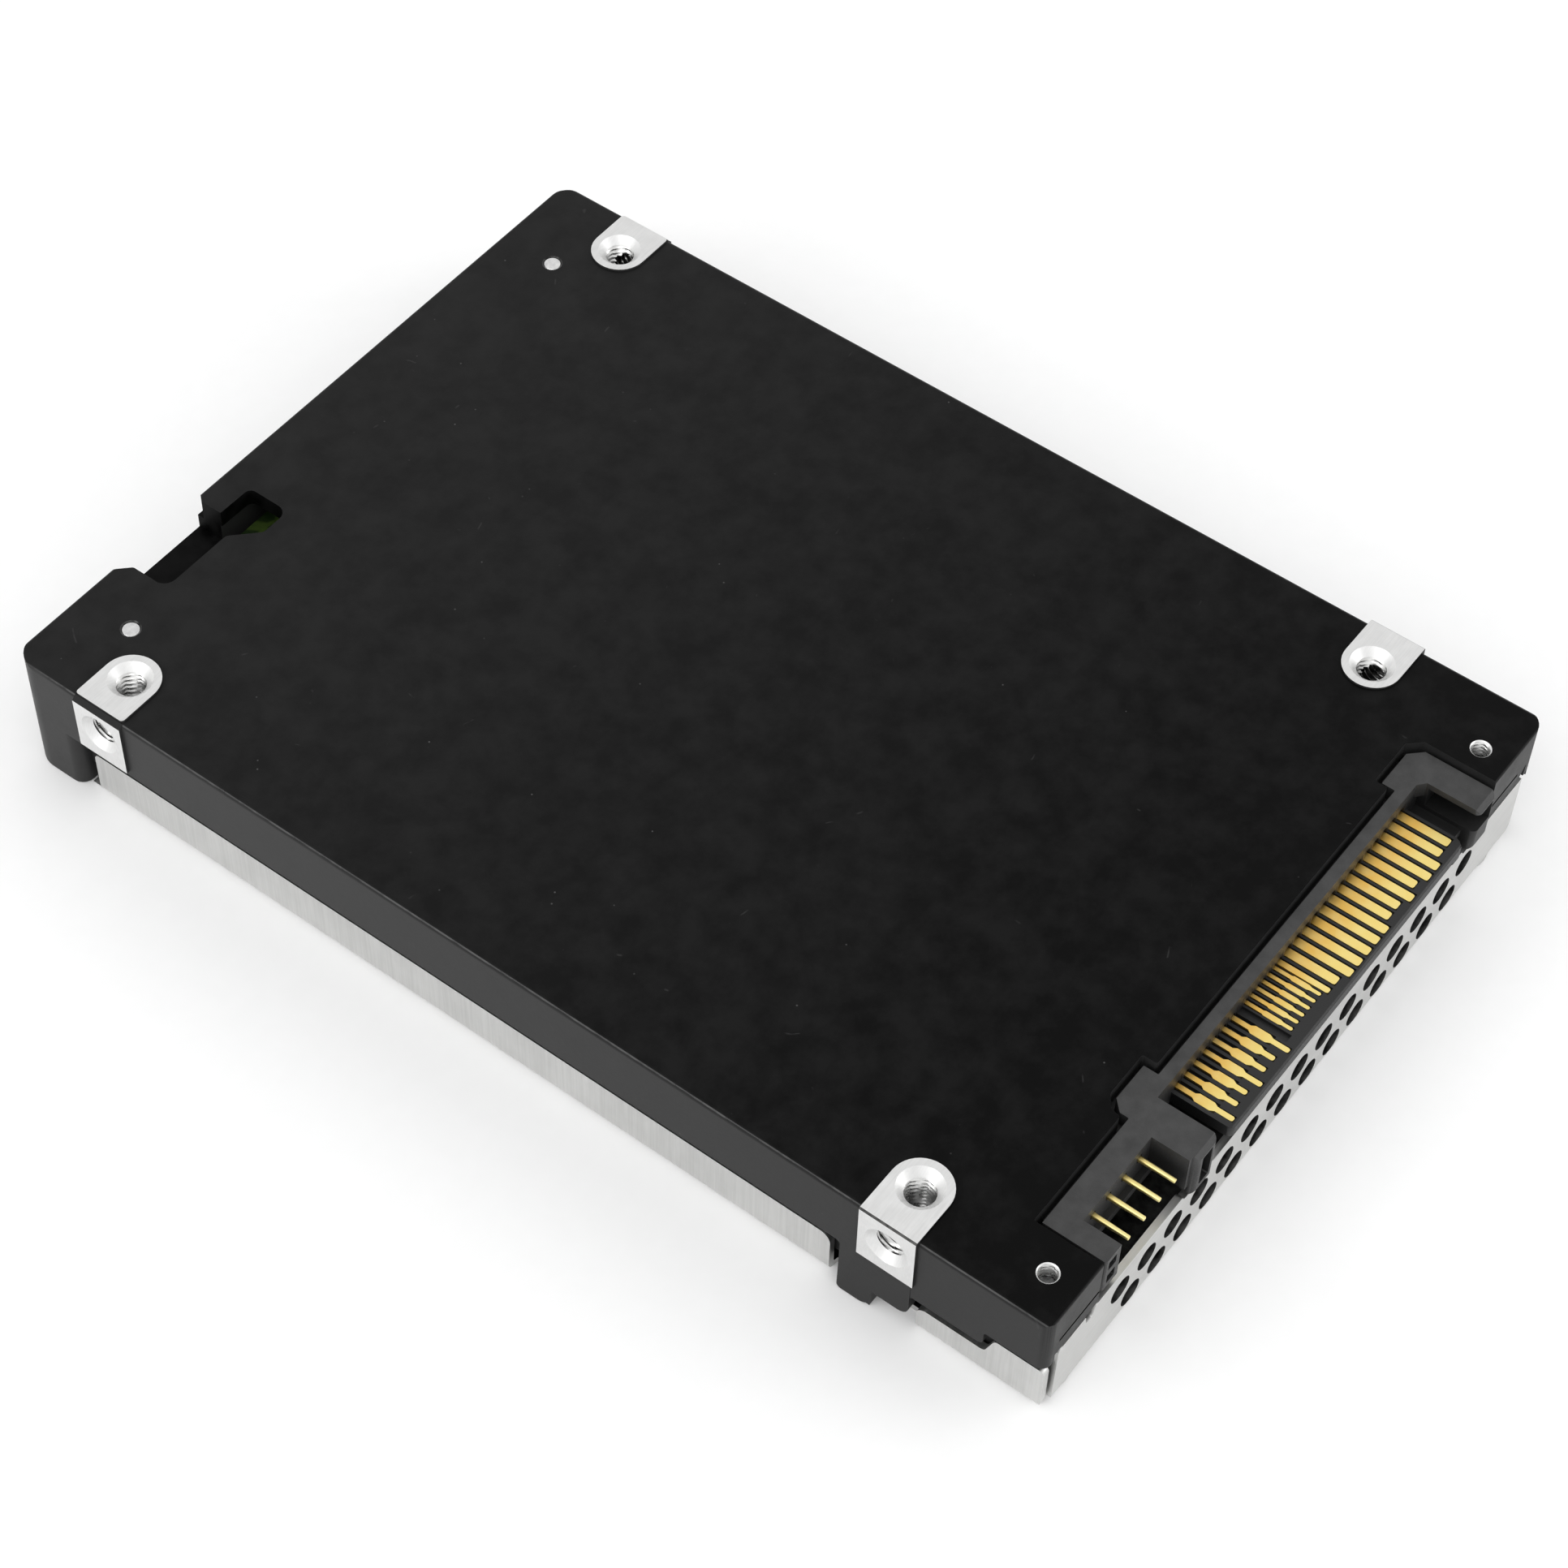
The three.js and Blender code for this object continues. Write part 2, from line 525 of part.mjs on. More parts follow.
const sidebandContact = (i) => contact(SIDEBAND_X + i * SIDEBAND_PITCH, [
  [CONTACT_BACK, 0.18],
  [-46.2, 0.18],
  [-46.4, 0.26],
  [-47.7, 0.26],
  [-47.95, 0.17],
  [-48.7, 0.17],
  [-48.85, 0.09],
]);

const LONG_POWER = [3, 4, 5, 6, 7, 10, 12, 13];

function powerContact(i) {
  const tip = LONG_POWER.includes(i + 1) ? LONG_TIP : SHORT_TIP;
  const half = i === 0 ? 0.32 : 0.47;
  return contact(POWER_X + i * CONTACT_PITCH + (i === 0 ? 0.12 : 0), [
    [CONTACT_BACK, half],
    [tip + 0.2, half],
    [tip, half - 0.2],
  ]);
}

// ---------------------------------------------------------------- boards, chips and screws

function mainBoard() {
  const { halfWidth: half, frontY, farY } = BOARD;
  const board = block(-half, half, frontY, farY, BOARD.bottom, BOARD_TOP);
  const around = (y, reach, x) => pair(x, half + 1, y - reach, y + reach, BOARD.bottom - 1, BOARD_TOP + 1);
  return cut(
    board,
    around(HOLE_Y[0], 3.6, HOLE_X - 3.0),
    around(HOLE_Y[1], 3.6, HOLE_X - 3.0),
    pair(23.0, half + 1, HOLE_Y[1], farY + 1, BOARD.bottom - 1, BOARD_TOP + 1),
    pair(HOLE_X - 3.0, half + 1, frontY - 1, HOLE_Y[0], BOARD.bottom - 1, BOARD_TOP + 1),
    ...BOARD_SCREWS.map((s) => rod(SCREW.r + 0.15, s.x, s.y, BOARD.bottom - 1, BOARD_TOP + 1, 12)),
  );
}

const chip = (x, y, width, depth, height, side = 1) => {
  const z0 = side > 0 ? BOARD_TOP + REST_GAP : BOARD.bottom - REST_GAP - height;
  return block(x - width / 2, x + width / 2, y - depth / 2, y + depth / 2, z0, z0 + height);
};

const NAND = { width: 14, depth: 18, height: 1.2, x: 12.5, y: [-4, 20] };
const CONTROLLER = { x: 0, y: -27, size: 21, height: 1.6 };
const DRAM = { width: 9, depth: 12, height: 1.1, x: 17, y: -27 };
const HOLDUP = { r: 2.4, length: 8.5, x0: -19.5, pitch: 13, y: 38, count: 4 };

// A thermal pad that fills the space between a chip's top and the plate.
function thermalPad(x, y, width, depth, chipHeight) {
  const z0 = BOARD_TOP + chipHeight + 2 * REST_GAP;
  return block(x - width / 2, x + width / 2, y - depth / 2, y + depth / 2, z0, PLATE_UNDER - REST_GAP);
}

// A hold-up capacitor lying on the underside of the board.
function holdupCapacitor(i) {
  const x = HOLDUP.x0 + i * HOLDUP.pitch;
  const z = BOARD.bottom - REST_GAP - HOLDUP.r;
  return crossRod(HOLDUP.r, x - HOLDUP.length / 2, x + HOLDUP.length / 2, HOLDUP.y, z, 24);
}

// A screw that points up, with a domed-edge head and a socket in it.
function screw({ x, y }, seat, tip, headR = SCREW.headR) {
  return cut(
    add(
      rod(SCREW.r, x, y, seat - 0.1, tip, 16),
      rod(headR, x, y, seat - SCREW.headHeight, seat - REST_GAP, 20, headR),
    ),
    rod(SCREW.socketR, x, y, seat - SCREW.headHeight - 1, seat - SCREW.headHeight + SCREW.socketDepth, 6),
  );
}

// ---------------------------------------------------------------- materials and assembly

function standard(color, roughness, metalness) {
  return () => new THREE.MeshStandardMaterial({ color, roughness, metalness });
}

const MATERIALS = {
  casting: standard(0x1c1c1d, 0.42, 0.6),
  steel: standard(0xc4c4c0, 0.34, 1.0),
  housing: standard(0x3a3a3b, 0.62, 0.0),
  gold: standard(0xd9b45a, 0.3, 1.0),
  board: standard(0x1f5a33, 0.55, 0.0),
  chip: standard(0x202123, 0.6, 0.0),
  capacitor: standard(0x2b2d3a, 0.45, 0.2),
  thermal: standard(0x8f96a3, 0.85, 0.0),
  screw: standard(0xb9b9b6, 0.35, 1.0),
};

const drive = new THREE.Group();

function place(name, material, body) {
  const mesh = new THREE.Mesh(geometryOf(body), MATERIALS[material]());
  mesh.name = name;
  drive.add(mesh);
}

function placeRow(name, count, material, make) {
  for (let i = 0; i < count; i += 1) place(`${name}_${i + 1}`, material, make(i));
}

place("base_casting", "casting", baseCasting());
place("steel_cover", "steel", steelCover());
place("connector_housing", "housing", connectorHousing());
placeRow("signal_contact", 7, "gold", signalContact);
placeRow("sideband_contact", 6, "gold", sidebandContact);
placeRow("power_contact", 15, "gold", powerContact);
placeRow("service_pin", PIN.count, "gold", servicePin);
place("main_board", "board", mainBoard());
place("controller_chip", "chip", chip(
  CONTROLLER.x, CONTROLLER.y, CONTROLLER.size, CONTROLLER.size, CONTROLLER.height,
));
placeRow("flash_package", 4, "chip", (i) => chip(
  (i % 2 ? 1 : -1) * NAND.x, NAND.y[i < 2 ? 0 : 1], NAND.width, NAND.depth, NAND.height,
));
placeRow("memory_package", 2, "chip", (i) => chip(
  (i ? 1 : -1) * DRAM.x, DRAM.y, DRAM.width, DRAM.depth, DRAM.height,
));
placeRow("holdup_capacitor", HOLDUP.count, "capacitor", holdupCapacitor);
place("controller_thermal_pad", "thermal", thermalPad(
  CONTROLLER.x, CONTROLLER.y, CONTROLLER.size, CONTROLLER.size, CONTROLLER.height,
));
place("flash_thermal_pad", "thermal", thermalPad(
  0, (NAND.y[0] + NAND.y[1]) / 2, 2 * NAND.x + NAND.width, NAND.y[1] - NAND.y[0] + NAND.depth, NAND.height,
));
COVER_SCREWS.forEach((s) => place(s.name, "screw", screw(s, DIMPLE.floor, s.tip)));
BOARD_SCREWS.forEach((s) => place(s.name, "screw", screw(s, BOARD.bottom, BOARD_TOP + 1.6)));

export default drive;
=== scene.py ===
"""The looks of a 2.5-inch solid state drive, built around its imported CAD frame.

Pieces are modelled in millimetres, in the CAD's own frame, and are scaled to metres when they are finished.
+Z is the mounting face, -Y is the connector end, and the drive lies on its steel cover.
"""
import json
import math

import bmesh
import bpy
from mathutils import Matrix, Vector


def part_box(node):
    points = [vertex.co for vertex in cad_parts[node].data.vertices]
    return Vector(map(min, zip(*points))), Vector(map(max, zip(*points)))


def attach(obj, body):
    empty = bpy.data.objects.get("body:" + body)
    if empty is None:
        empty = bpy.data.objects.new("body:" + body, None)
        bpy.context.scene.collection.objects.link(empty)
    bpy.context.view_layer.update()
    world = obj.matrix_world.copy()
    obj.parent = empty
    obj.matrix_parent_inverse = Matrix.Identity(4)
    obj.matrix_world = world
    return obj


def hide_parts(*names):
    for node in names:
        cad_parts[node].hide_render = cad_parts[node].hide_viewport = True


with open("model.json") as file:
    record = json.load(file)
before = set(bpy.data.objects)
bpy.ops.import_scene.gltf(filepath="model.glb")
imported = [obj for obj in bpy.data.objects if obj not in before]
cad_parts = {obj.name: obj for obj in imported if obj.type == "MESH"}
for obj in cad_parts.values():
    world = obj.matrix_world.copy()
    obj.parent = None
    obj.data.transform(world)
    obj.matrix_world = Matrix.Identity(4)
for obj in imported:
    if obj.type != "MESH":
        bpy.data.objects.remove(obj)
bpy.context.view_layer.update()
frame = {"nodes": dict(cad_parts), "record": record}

MM = 0.001
SIDES = (-1, 1)


# ------------ driving dimensions, in millimetres


def box(node):
    """Lowest and highest corner of a CAD node, in millimetres."""
    low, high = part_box(node)
    return low / MM, high / MM


def middle(node):
    low, high = box(node)
    return (low + high) / 2


CAST_LOW, CAST_HIGH = box("base_casting")
COVER_LOW, COVER_HIGH = box("steel_cover")
PLUG_LOW, PLUG_HIGH = box("connector_housing")
BOARD_TOP = box("main_board")[1].z

EDGE = CAST_HIGH.x  # outer face of the machined side pads
TOP = CAST_HIGH.z  # machined mounting pads
WALL = EDGE - 0.275  # outer face of the coated walls
WALL_THICK = 2.6
OUTER_SKIN = WALL - 1.4  # the walls are cut back to this beside the cover's flanges
PLATE_TOP = TOP - 0.2
PLATE_UNDER = PLATE_TOP - 1.6
FRONT = CAST_LOW.y
FAR = CAST_HIGH.y
CAST_BOTTOM = CAST_LOW.z
BELOW = CAST_BOTTOM - 1  # cutters start and end clear of the casting
ABOVE = TOP + 1
SKIRT = 6.16  # lower edge of the side walls, above the cover's flanges
INNER_BOTTOM = 2.05  # lower edge of the walls behind the flanges
SHELF = 2.3  # lower edge of the shelf beside each foot
HOOK_CAST = (4.86, 6.5)  # lower edge of the casting on either side of the hook
POST = 33.5  # half width between the corner posts of the connector end
BAND_GROOVE_X = (-33.1, 31.2)
BAND_GROOVE_Z = (8.75, 9.05)
LEG_X = 29.5  # the far corner legs end here along the far wall
NOTCH_X = (-22.0, -13.3)
NOTCH_LEDGE = 9.0
NEAR_LEFT_CORNER = 0.8
NEAR_RIGHT_CORNER = 1.8
FAR_CORNER = 2.3
TOP_ROUND = 0.45  # along the two long edges
END_ROUND = 0.35  # along the far edge
NEAR_ROUND = 0.25  # along the connector-end edge

DATUM = FRONT - 0.15  # the end that the hole positions are measured from
HOLE_X = 61.72 / 2
NEAR_HOLE_Y = DATUM + 14.0
FAR_HOLE_Y = DATUM + 90.6
SIDE_HOLE_Z = TOP - 3.0
PAD_HALF = 2.5
SIDE_PAD_BOTTOM = 6.7
NEAR_CHAMFER = 0.15  # between the top and side pads at the connector end
M3 = {"minor": 1.24, "major": 1.5, "pitch": 0.5, "mouth": 1.87}
M2 = {"minor": 0.78, "major": 0.95, "pitch": 0.4, "mouth": 0.88}

SHEET = 0.6
BEND = 1.0
OVER_COVER = COVER_HIGH.z + 3  # the flanges' cutters reach from here
UNDER_COVER = -1.0
CLEAR = 0.5  # cutters for the flanges' outlines stop just inside the floor sheet
SEAM = 0.3  # gap between the front flange and the -X side flange
SIDE_FLANGE_TOP = 4.92
FLANGE_GAP = (-38.35, -30.5)  # opening in each side flange round the foot
HOOK_COVER = (3.17, 5.32)  # top of the flange on either side of the hook
FAR_FLANGE_HALF = 28.3
FRONT_FLANGE_X = (-33.0, 32.4)
FOOT_NEAR = -38.0
FOOT_FAR = -31.7
FOOT_STEP = -34.6
LEG = 44.3
HOOK = -44.4
VENT_RADIUS = 1.2
VENT_PITCH = 3.49
VENT_MIDDLE = -0.4
VENT_ROWS = ((4.8, 15), (2.05, 14))

BLADE_TOP = 10.1
BLADE_THICK = 1.23
BLADE_X = (-11.535, 21.855)
KEY_X = (20.9, 22.1)
ROOT = -44.75  # front face of the housing's back wall
LEFT_ARM = (-16.4, -13.7)
RIGHT_ARM = (23.6, 26.2)
GROOVE = 0.24  # depth of the bed that each contact lies in
HEADER_LEFT = -27.6
HEADER_POCKET = (-25.65, -16.85)
HEADER_FRONT = -49.6
HEADER_BACK = -46.3
HEADER_BOTTOM = 8.1
HEADER_FLOOR = 8.9
HEADER_END = -44.1  # back edges of the housing, from the header to the +X arm
SHOULDER_END = -42.4
BLADE_END = -43.7
ARM_END = -42.5
SHOULDER_X = -12.0
ARM_X = 21.4
ARM_CHAMFER = 1.1
ARM_RECESS_X = (23.0, 25.75)  # the +X arm is hollow and open towards the blade
ARM_RECESS_Z = (9.4, 11.45)

SIGNALS = [f"signal_contact_{i + 1}" for i in range(7)]
SIDEBANDS = [f"sideband_contact_{i + 1}" for i in range(6)]
POWERS = [f"power_contact_{i + 1}" for i in range(15)]
PINS = [f"service_pin_{i + 1}" for i in range(4)]
COVER_SCREWS = [f"cover_screw_{i + 1}" for i in range(4)]
BOARD_SCREWS = [f"board_screw_{i + 1}" for i in range(4)]


# ------------ outlines and solids


def fillet(corners, steps=5):
    """A closed outline. Each corner is (x, y) or, where it is rounded, (x, y, radius)."""
    points = []
    count = len(corners)
    for i, corner in enumerate(corners):
        here = Vector(corner[:2])
        radius = corner[2] if len(corner) > 2 else 0
        back = (Vector(corners[i - 1][:2]) - here).normalized()
        ahead = (Vector(corners[(i + 1) % count][:2]) - here).normalized()
        if not radius:
            points.append(here)
            continue
        half = back.angle(ahead) / 2
        centre = here + (back + ahead).normalized() * (radius / math.sin(half))
        start = here + back * (radius / math.tan(half)) - centre
        end = here + ahead * (radius / math.tan(half)) - centre
        turn = math.atan2(start.x * end.y - start.y * end.x, start.dot(end))
        for k in range(steps + 1):
            points.append(centre + Matrix.Rotation(turn * k / steps, 2) @ start)
    return points


def rectangle(x0, x1, y0, y1, radius=0.0):
    corners = ((x0, y0), (x1, y0), (x1, y1), (x0, y1))
    return [(*corner, radius) if radius else corner for corner in corners]


def new_piece(bm, name="solid"):
    bmesh.ops.recalc_face_normals(bm, faces=bm.faces)
    mesh = bpy.data.meshes.new(name)
    bm.to_mesh(mesh)
    bm.free()
    piece = bpy.data.objects.new(name, mesh)
    bpy.context.scene.collection.objects.link(piece)
    return piece


PLANES = {"X": (1, 2, 0), "Y": (0, 2, 1), "Z": (0, 1, 2)}


def prism(corners, low, high, axis="Z", steps=5):
    """An outline drawn across an axis and drawn out along it: Y,Z across X; X,Z across Y; X,Y across Z."""
    first, second, along = PLANES[axis]
    bm = bmesh.new()
    rings = []
    for height in (low, high):
        ring = []
        for point in fillet(corners, steps):
            place = [0.0, 0.0, 0.0]
            place[first] = point[0]
            place[second] = point[1]
            place[along] = height
            ring.append(bm.verts.new(place))
        rings.append(ring)
        bm.faces.new(ring)
    for i in range(len(rings[0])):
        bm.faces.new((rings[0][i - 1], rings[0][i], rings[1][i], rings[1][i - 1]))
    return new_piece(bm)


def block(x0, x1, y0, y1, z0, z1):
    return prism(rectangle(x0, x1, y0, y1), z0, z1)


def both_sides(make):
    return [make(side) for side in SIDES]


def across(side, x0, x1):
    """A span of X on one side of the drive, in rising order."""
    return tuple(sorted((side * x0, side * x1)))


AIMS = {
    "Z": Matrix.Identity(3),
    "-Z": Matrix.Rotation(math.pi, 3, "X"),
    "X": Matrix.Rotation(math.pi / 2, 3, "Y"),
    "-X": Matrix.Rotation(-math.pi / 2, 3, "Y"),
    "Y": Matrix.Rotation(-math.pi / 2, 3, "X"),
}


def turned(rows, centre, axis="Z", steps=32, thread=None):
    """A solid of revolution: rows are (height, radius), and a thread is (from, to, depth, pitch)."""
    bm = bmesh.new()
    aim = AIMS[axis]
    rings = []
    for height, radius in rows:
        ring = []
        for k in range(steps):
            angle = math.tau * k / steps
            reach = radius
            if thread and thread[0] <= height <= thread[1]:
                phase = (height / thread[3] + k / steps) % 1.0
                reach += thread[2] * (1 - abs(2 * phase - 1))
            spot = Vector((reach * math.cos(angle), reach * math.sin(angle), height))
            ring.append(bm.verts.new(Vector(centre) + aim @ spot))
        rings.append(ring)
    for low, high in zip(rings, rings[1:]):
        for k in range(steps):
            bm.faces.new((low[k - 1], low[k], high[k], high[k - 1]))
    bm.faces.new(rings[0])
    bm.faces.new(rings[-1])
    return new_piece(bm)


def cylinder(radius, centre, length, axis="Z", steps=32):
    return turned([(0, radius), (length, radius)], centre, axis, steps)


def tapped_hole(size, centre, axis, depth, steps=32):
    """A cutter for a threaded hole with a conical mouth; it points into the metal from its centre.

    Its faces carry the hole's material slots: 1 the cone, 2 the flanks that face the mouth, 3 those behind,
    which get painted shade.
    """
    rise = 0.3
    rows_per_turn = 6
    cone = size["mouth"] - size["minor"]
    step = size["pitch"] / rows_per_turn
    count = int((depth - cone) / step)
    rows = [(-rise, size["mouth"] + rise), (cone, size["minor"])]
    rows += [(cone + step * (i + 1), size["minor"]) for i in range(count)]
    thread = (cone + step / 2, depth + 1, size["major"] - size["minor"], size["pitch"])
    cutter = turned(rows, centre, axis, steps, thread)
    inwards = AIMS[axis] @ Vector((0, 0, 1))
    for polygon in cutter.data.polygons:
        past_cone = (polygon.center - Vector(centre)).dot(inwards) > cone
        shaded = polygon.normal.dot(inwards) < 0
        polygon.material_index = (3 if shaded else 2) if past_cone else 1
    return cutter


# ------------ joining, cutting and finishing


def apply_modifiers(piece):
    graph = bpy.context.evaluated_depsgraph_get()
    mesh = bpy.data.meshes.new_from_object(piece.evaluated_get(graph))
    piece.modifiers.clear()
    piece.data = mesh
    return piece


def combine(piece, tools, operation):
    for tool in tools:
        step = piece.modifiers.new("step", "BOOLEAN")
        step.operation = operation
        step.solver = "MANIFOLD"
        step.object = tool
    apply_modifiers(piece)
    for tool in tools:
        bpy.data.objects.remove(tool)
    return piece


def join(piece, *tools):
    return combine(piece, tools, "UNION")


def cut(piece, *tools):
    return combine(piece, tools, "DIFFERENCE")


def trim(piece, *tools):
    return combine(piece, tools, "INTERSECT")


def tidy(piece, weld=0.002, flat=0.4):
    """Merges doubled points and dissolves the leftover edges inside flat faces."""
    bm = bmesh.new()
    bm.from_mesh(piece.data)
    bmesh.ops.remove_doubles(bm, verts=bm.verts, dist=weld)
    bmesh.ops.dissolve_limit(bm, angle_limit=math.radians(flat), verts=bm.verts, edges=bm.edges)
    bm.to_mesh(piece.data)
    bm.free()
    return piece


def soften(piece, width, segments=2, angle=35):
    tidy(piece)
    step = piece.modifiers.new("edges", "BEVEL")
    step.width = width
    step.segments = segments
    step.limit_method = "ANGLE"
    step.angle_limit = math.radians(angle)
    step.miter_outer = "MITER_ARC"
    return apply_modifiers(piece)


def finish(piece, name, materials, replaced=(), smooth=32):
    """Scales a piece to metres, shades it, gives it its materials and lets it ride on the drive."""
    piece.name = name
    piece.data.name = name
    piece.data.transform(Matrix.Scale(MM, 4))
    kept = [polygon.material_index for polygon in piece.data.polygons]
    piece.data.materials.clear()
    for material in materials:
        piece.data.materials.append(material)
    for polygon, index in zip(piece.data.polygons, kept):
        polygon.material_index = min(index, len(materials) - 1)
    piece.data.shade_smooth()
    piece.data.set_sharp_from_angle(angle=math.radians(smooth))
    weights = piece.modifiers.new("normals", "WEIGHTED_NORMAL")
    weights.keep_sharp = True
    apply_modifiers(piece)
    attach(piece, "root")
    if replaced:
        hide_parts(*replaced)
    return piece


def paint(piece, index, chosen=None):
    """Gives a material slot to every face, or to those that chosen(centre, normal) picks."""
    for polygon in piece.data.polygons:
        if chosen is None or chosen(polygon.center, polygon.normal):
            polygon.material_index = index


# ------------ materials


class Look:
    """A procedural material, built up from textures measured in millimetres."""

    def __init__(self, name, color, roughness, metallic=0.0, specular=0.5):
        self.material = bpy.data.materials.new(name)
        self.material.use_nodes = True
        self.nodes = self.material.node_tree.nodes
        self.links = self.material.node_tree.links
        self.shader = self.nodes["Principled BSDF"]
        self.set_inputs(self.shader, {"Base Color": (*color, 1), "Roughness": roughness})
        self.set_inputs(self.shader, {"Metallic": metallic, "Specular IOR Level": specular})
        self.place = self.nodes.new("ShaderNodeTexCoord").outputs["Object"]

    def set_inputs(self, node, inputs):
        """Gives each named input a value, or links it to an output of another node."""
        for name, value in inputs.items():
            if isinstance(value, bpy.types.NodeSocket):
                self.links.new(value, node.inputs[name])
            else:
                node.inputs[name].default_value = value

    def add(self, kind, inputs, output=0):
        """An output of a new node."""
        node = self.nodes.new(f"ShaderNode{kind}")
        self.set_inputs(node, inputs)
        return node.outputs[output]

    def mapped(self, stretch=(1, 1, 1)):
        return self.add("Mapping", {"Vector": self.place, "Scale": [s / MM for s in stretch]})

    def noise(self, per_mm, detail=3.0, stretch=(1, 1, 1), roughness=0.55):
        inputs = {"Vector": self.mapped(stretch), "Scale": per_mm, "Detail": detail, "Roughness": roughness}
        return self.add("TexNoise", inputs, "Fac")

    def cells(self, per_mm, feature="F1", warp=None):
        """The distance to a cell's centre or, with DISTANCE_TO_EDGE, to its edge."""
        vector = self.mapped()
        if warp is not None:
            vector = self.add("VectorMath", {0: vector, 1: warp})
        distance = self.add("TexVoronoi", {"Vector": vector, "Scale": per_mm}, "Distance")
        distance.node.feature = feature
        return distance

    def band(self, value, low, high, out_low=0.0, out_high=1.0):
        """Maps low..high of a value to out_low..out_high, clamped."""
        inputs = {"Value": value, "From Min": low, "From Max": high, "To Min": out_low, "To Max": out_high}
        return self.add("MapRange", inputs, "Result")

    def math(self, operation, first, second):
        result = self.add("Math", {0: first, 1: second})
        result.node.operation = operation
        return result

    def blend(self, factor, first, second):
        """Mixes two colours, each a tuple or an output."""
        node = self.nodes.new("ShaderNodeMix")
        node.data_type = "RGBA"
        first, second = [(*value, 1) if isinstance(value, tuple) else value for value in (first, second)]
        self.set_inputs(node, {0: factor, 6: first, 7: second})
        return node.outputs[2]

    def axis(self, name, vector=None):
        """One coordinate of a vector, or of the place if none is given."""
        return self.add("SeparateXYZ", {0: vector or self.place}, name)

    def facing(self, name):
        """How squarely the surface faces along an axis, either way."""
        normal = self.add("NewGeometry", {}, "Normal")
        return self.math("ABSOLUTE", self.axis(name, normal), 0)

    def color(self, output):
        self.links.new(output, self.shader.inputs["Base Color"])

    def roughness(self, output):
        self.links.new(output, self.shader.inputs["Roughness"])

    def bump(self, height, distance, strength):
        inputs = {"Height": height, "Distance": distance * MM, "Strength": strength}
        self.set_inputs(self.shader, {"Normal": self.add("Bump", inputs, "Normal")})


def coating_look():
    """Black coat over a die casting: satin, faintly mottled, with dust specks and hair scratches; its upright
    walls carry a painted sheen.
    """
    look = Look("black_coating", (0.004, 0.004, 0.004), 0.4, 0.0, 0.095)
    mottle = look.noise(0.35, 5, roughness=0.65)
    grain = look.noise(3.0, 2)
    # The tone rises towards the far end. Faces that stand upright are painted lighter: a painted reflection
    # of the white floor on the side walls.
    along = look.band(look.axis("Y"), FRONT * MM, FAR * MM, 0.0, 1.0)
    cloud = look.band(mottle, 0.35, 0.65, -0.2, 0.2)
    upright = look.band(look.facing("Z"), 0.9, 0.2)
    tone = look.math("ADD", look.math("ADD", along, cloud), look.math("MULTIPLY", upright, 1.95))
    base = look.blend(look.band(tone, 0, 3, 0, 1), (0.0, 0.0, 0.0), (0.036, 0.036, 0.036))
    speck_field = look.band(look.cells(0.55), 0.05, 0.03)
    specks = look.math("MULTIPLY", speck_field, look.band(look.noise(0.2, 1), 0.54, 0.62))
    base = look.blend(look.math("MULTIPLY", specks, 0.6), base, (0.1, 0.1, 0.1))
    warp = look.noise(0.35, 2)
    cracks = look.band(look.cells(0.11, "DISTANCE_TO_EDGE", warp), 0.008, 0.003)
    hairs = look.math("MULTIPLY", cracks, look.band(look.noise(0.45, 2), 0.66, 0.7))
    base = look.blend(look.math("MULTIPLY", hairs, 0.28), base, (0.06, 0.06, 0.06))
    look.color(base)
    texture = look.math("ADD", mottle, look.math("MULTIPLY", grain, 0.3))
    look.roughness(look.band(texture, 0.4, 0.9, 0.34, 0.48))
    look.bump(look.math("ADD", grain, look.noise(0.9, 2)), 0.006, 0.6)
    return look.material


def recess_shade_look():
    """The same coating painted nearly black as shade, where little light reaches."""
    look = Look("coating_painted_shade", (0.002, 0.002, 0.002), 0.5, 0.0, 0.06)
    cloud = look.noise(0.8, 3)
    look.color(look.blend(look.band(cloud, 0.3, 0.7), (0.0, 0.0, 0.0), (0.004, 0.004, 0.004)))
    look.roughness(look.band(cloud, 0.3, 0.7, 0.45, 0.6))
    look.bump(look.noise(3.0, 2), 0.006, 0.6)
    return look.material


def edge_highlight_look():
    """A painted highlight on the coating: a lighter, glossier strip along the cutouts' upper edges."""
    look = Look("coating_painted_highlight", (0.03, 0.03, 0.03), 0.34, 0.0, 0.3)
    glint = look.noise(0.6, 3)
    look.color(look.blend(look.band(glint, 0.4, 0.6), (0.01, 0.01, 0.01), (0.05, 0.05, 0.05)))
    look.roughness(look.band(glint, 0.3, 0.7, 0.24, 0.36))
    look.bump(look.noise(3.0, 2), 0.004, 0.5)
    return look.material


def machined_look():
    """Bare aluminium left by an end mill: bright, with faint close cutter marks."""
    look = Look("machined_aluminium", (0.78, 0.78, 0.775), 0.34, 1.0)
    marks = look.noise(1.0, 3, (0.6, 9, 2.0))
    cloud = look.noise(0.8, 2)
    shade = look.math("ADD", look.band(marks, 0.3, 0.7, 0, 0.6), look.band(cloud, 0.3, 0.7, 0, 0.4))
    look.color(look.blend(shade, (0.72, 0.72, 0.715), (0.83, 0.83, 0.825)))
    look.roughness(look.band(marks, 0.3, 0.7, 0.42, 0.54))
    look.bump(marks, 0.003, 0.4)
    return look.material


def thread_look(name, low, high):
    """Tapped aluminium, stained between two greys. It is made twice: bright for the flanks that face the
    mouth, and nearly black as painted shade for those behind.
    """
    look = Look(name, high, 0.3, 1.0)
    stain = look.noise(1.5, 3)
    look.color(look.blend(look.band(stain, 0.35, 0.65), low, high))
    look.roughness(look.band(stain, 0.3, 0.7, 0.22, 0.4))
    look.bump(look.noise(6, 2), 0.004, 0.5)
    return look.material


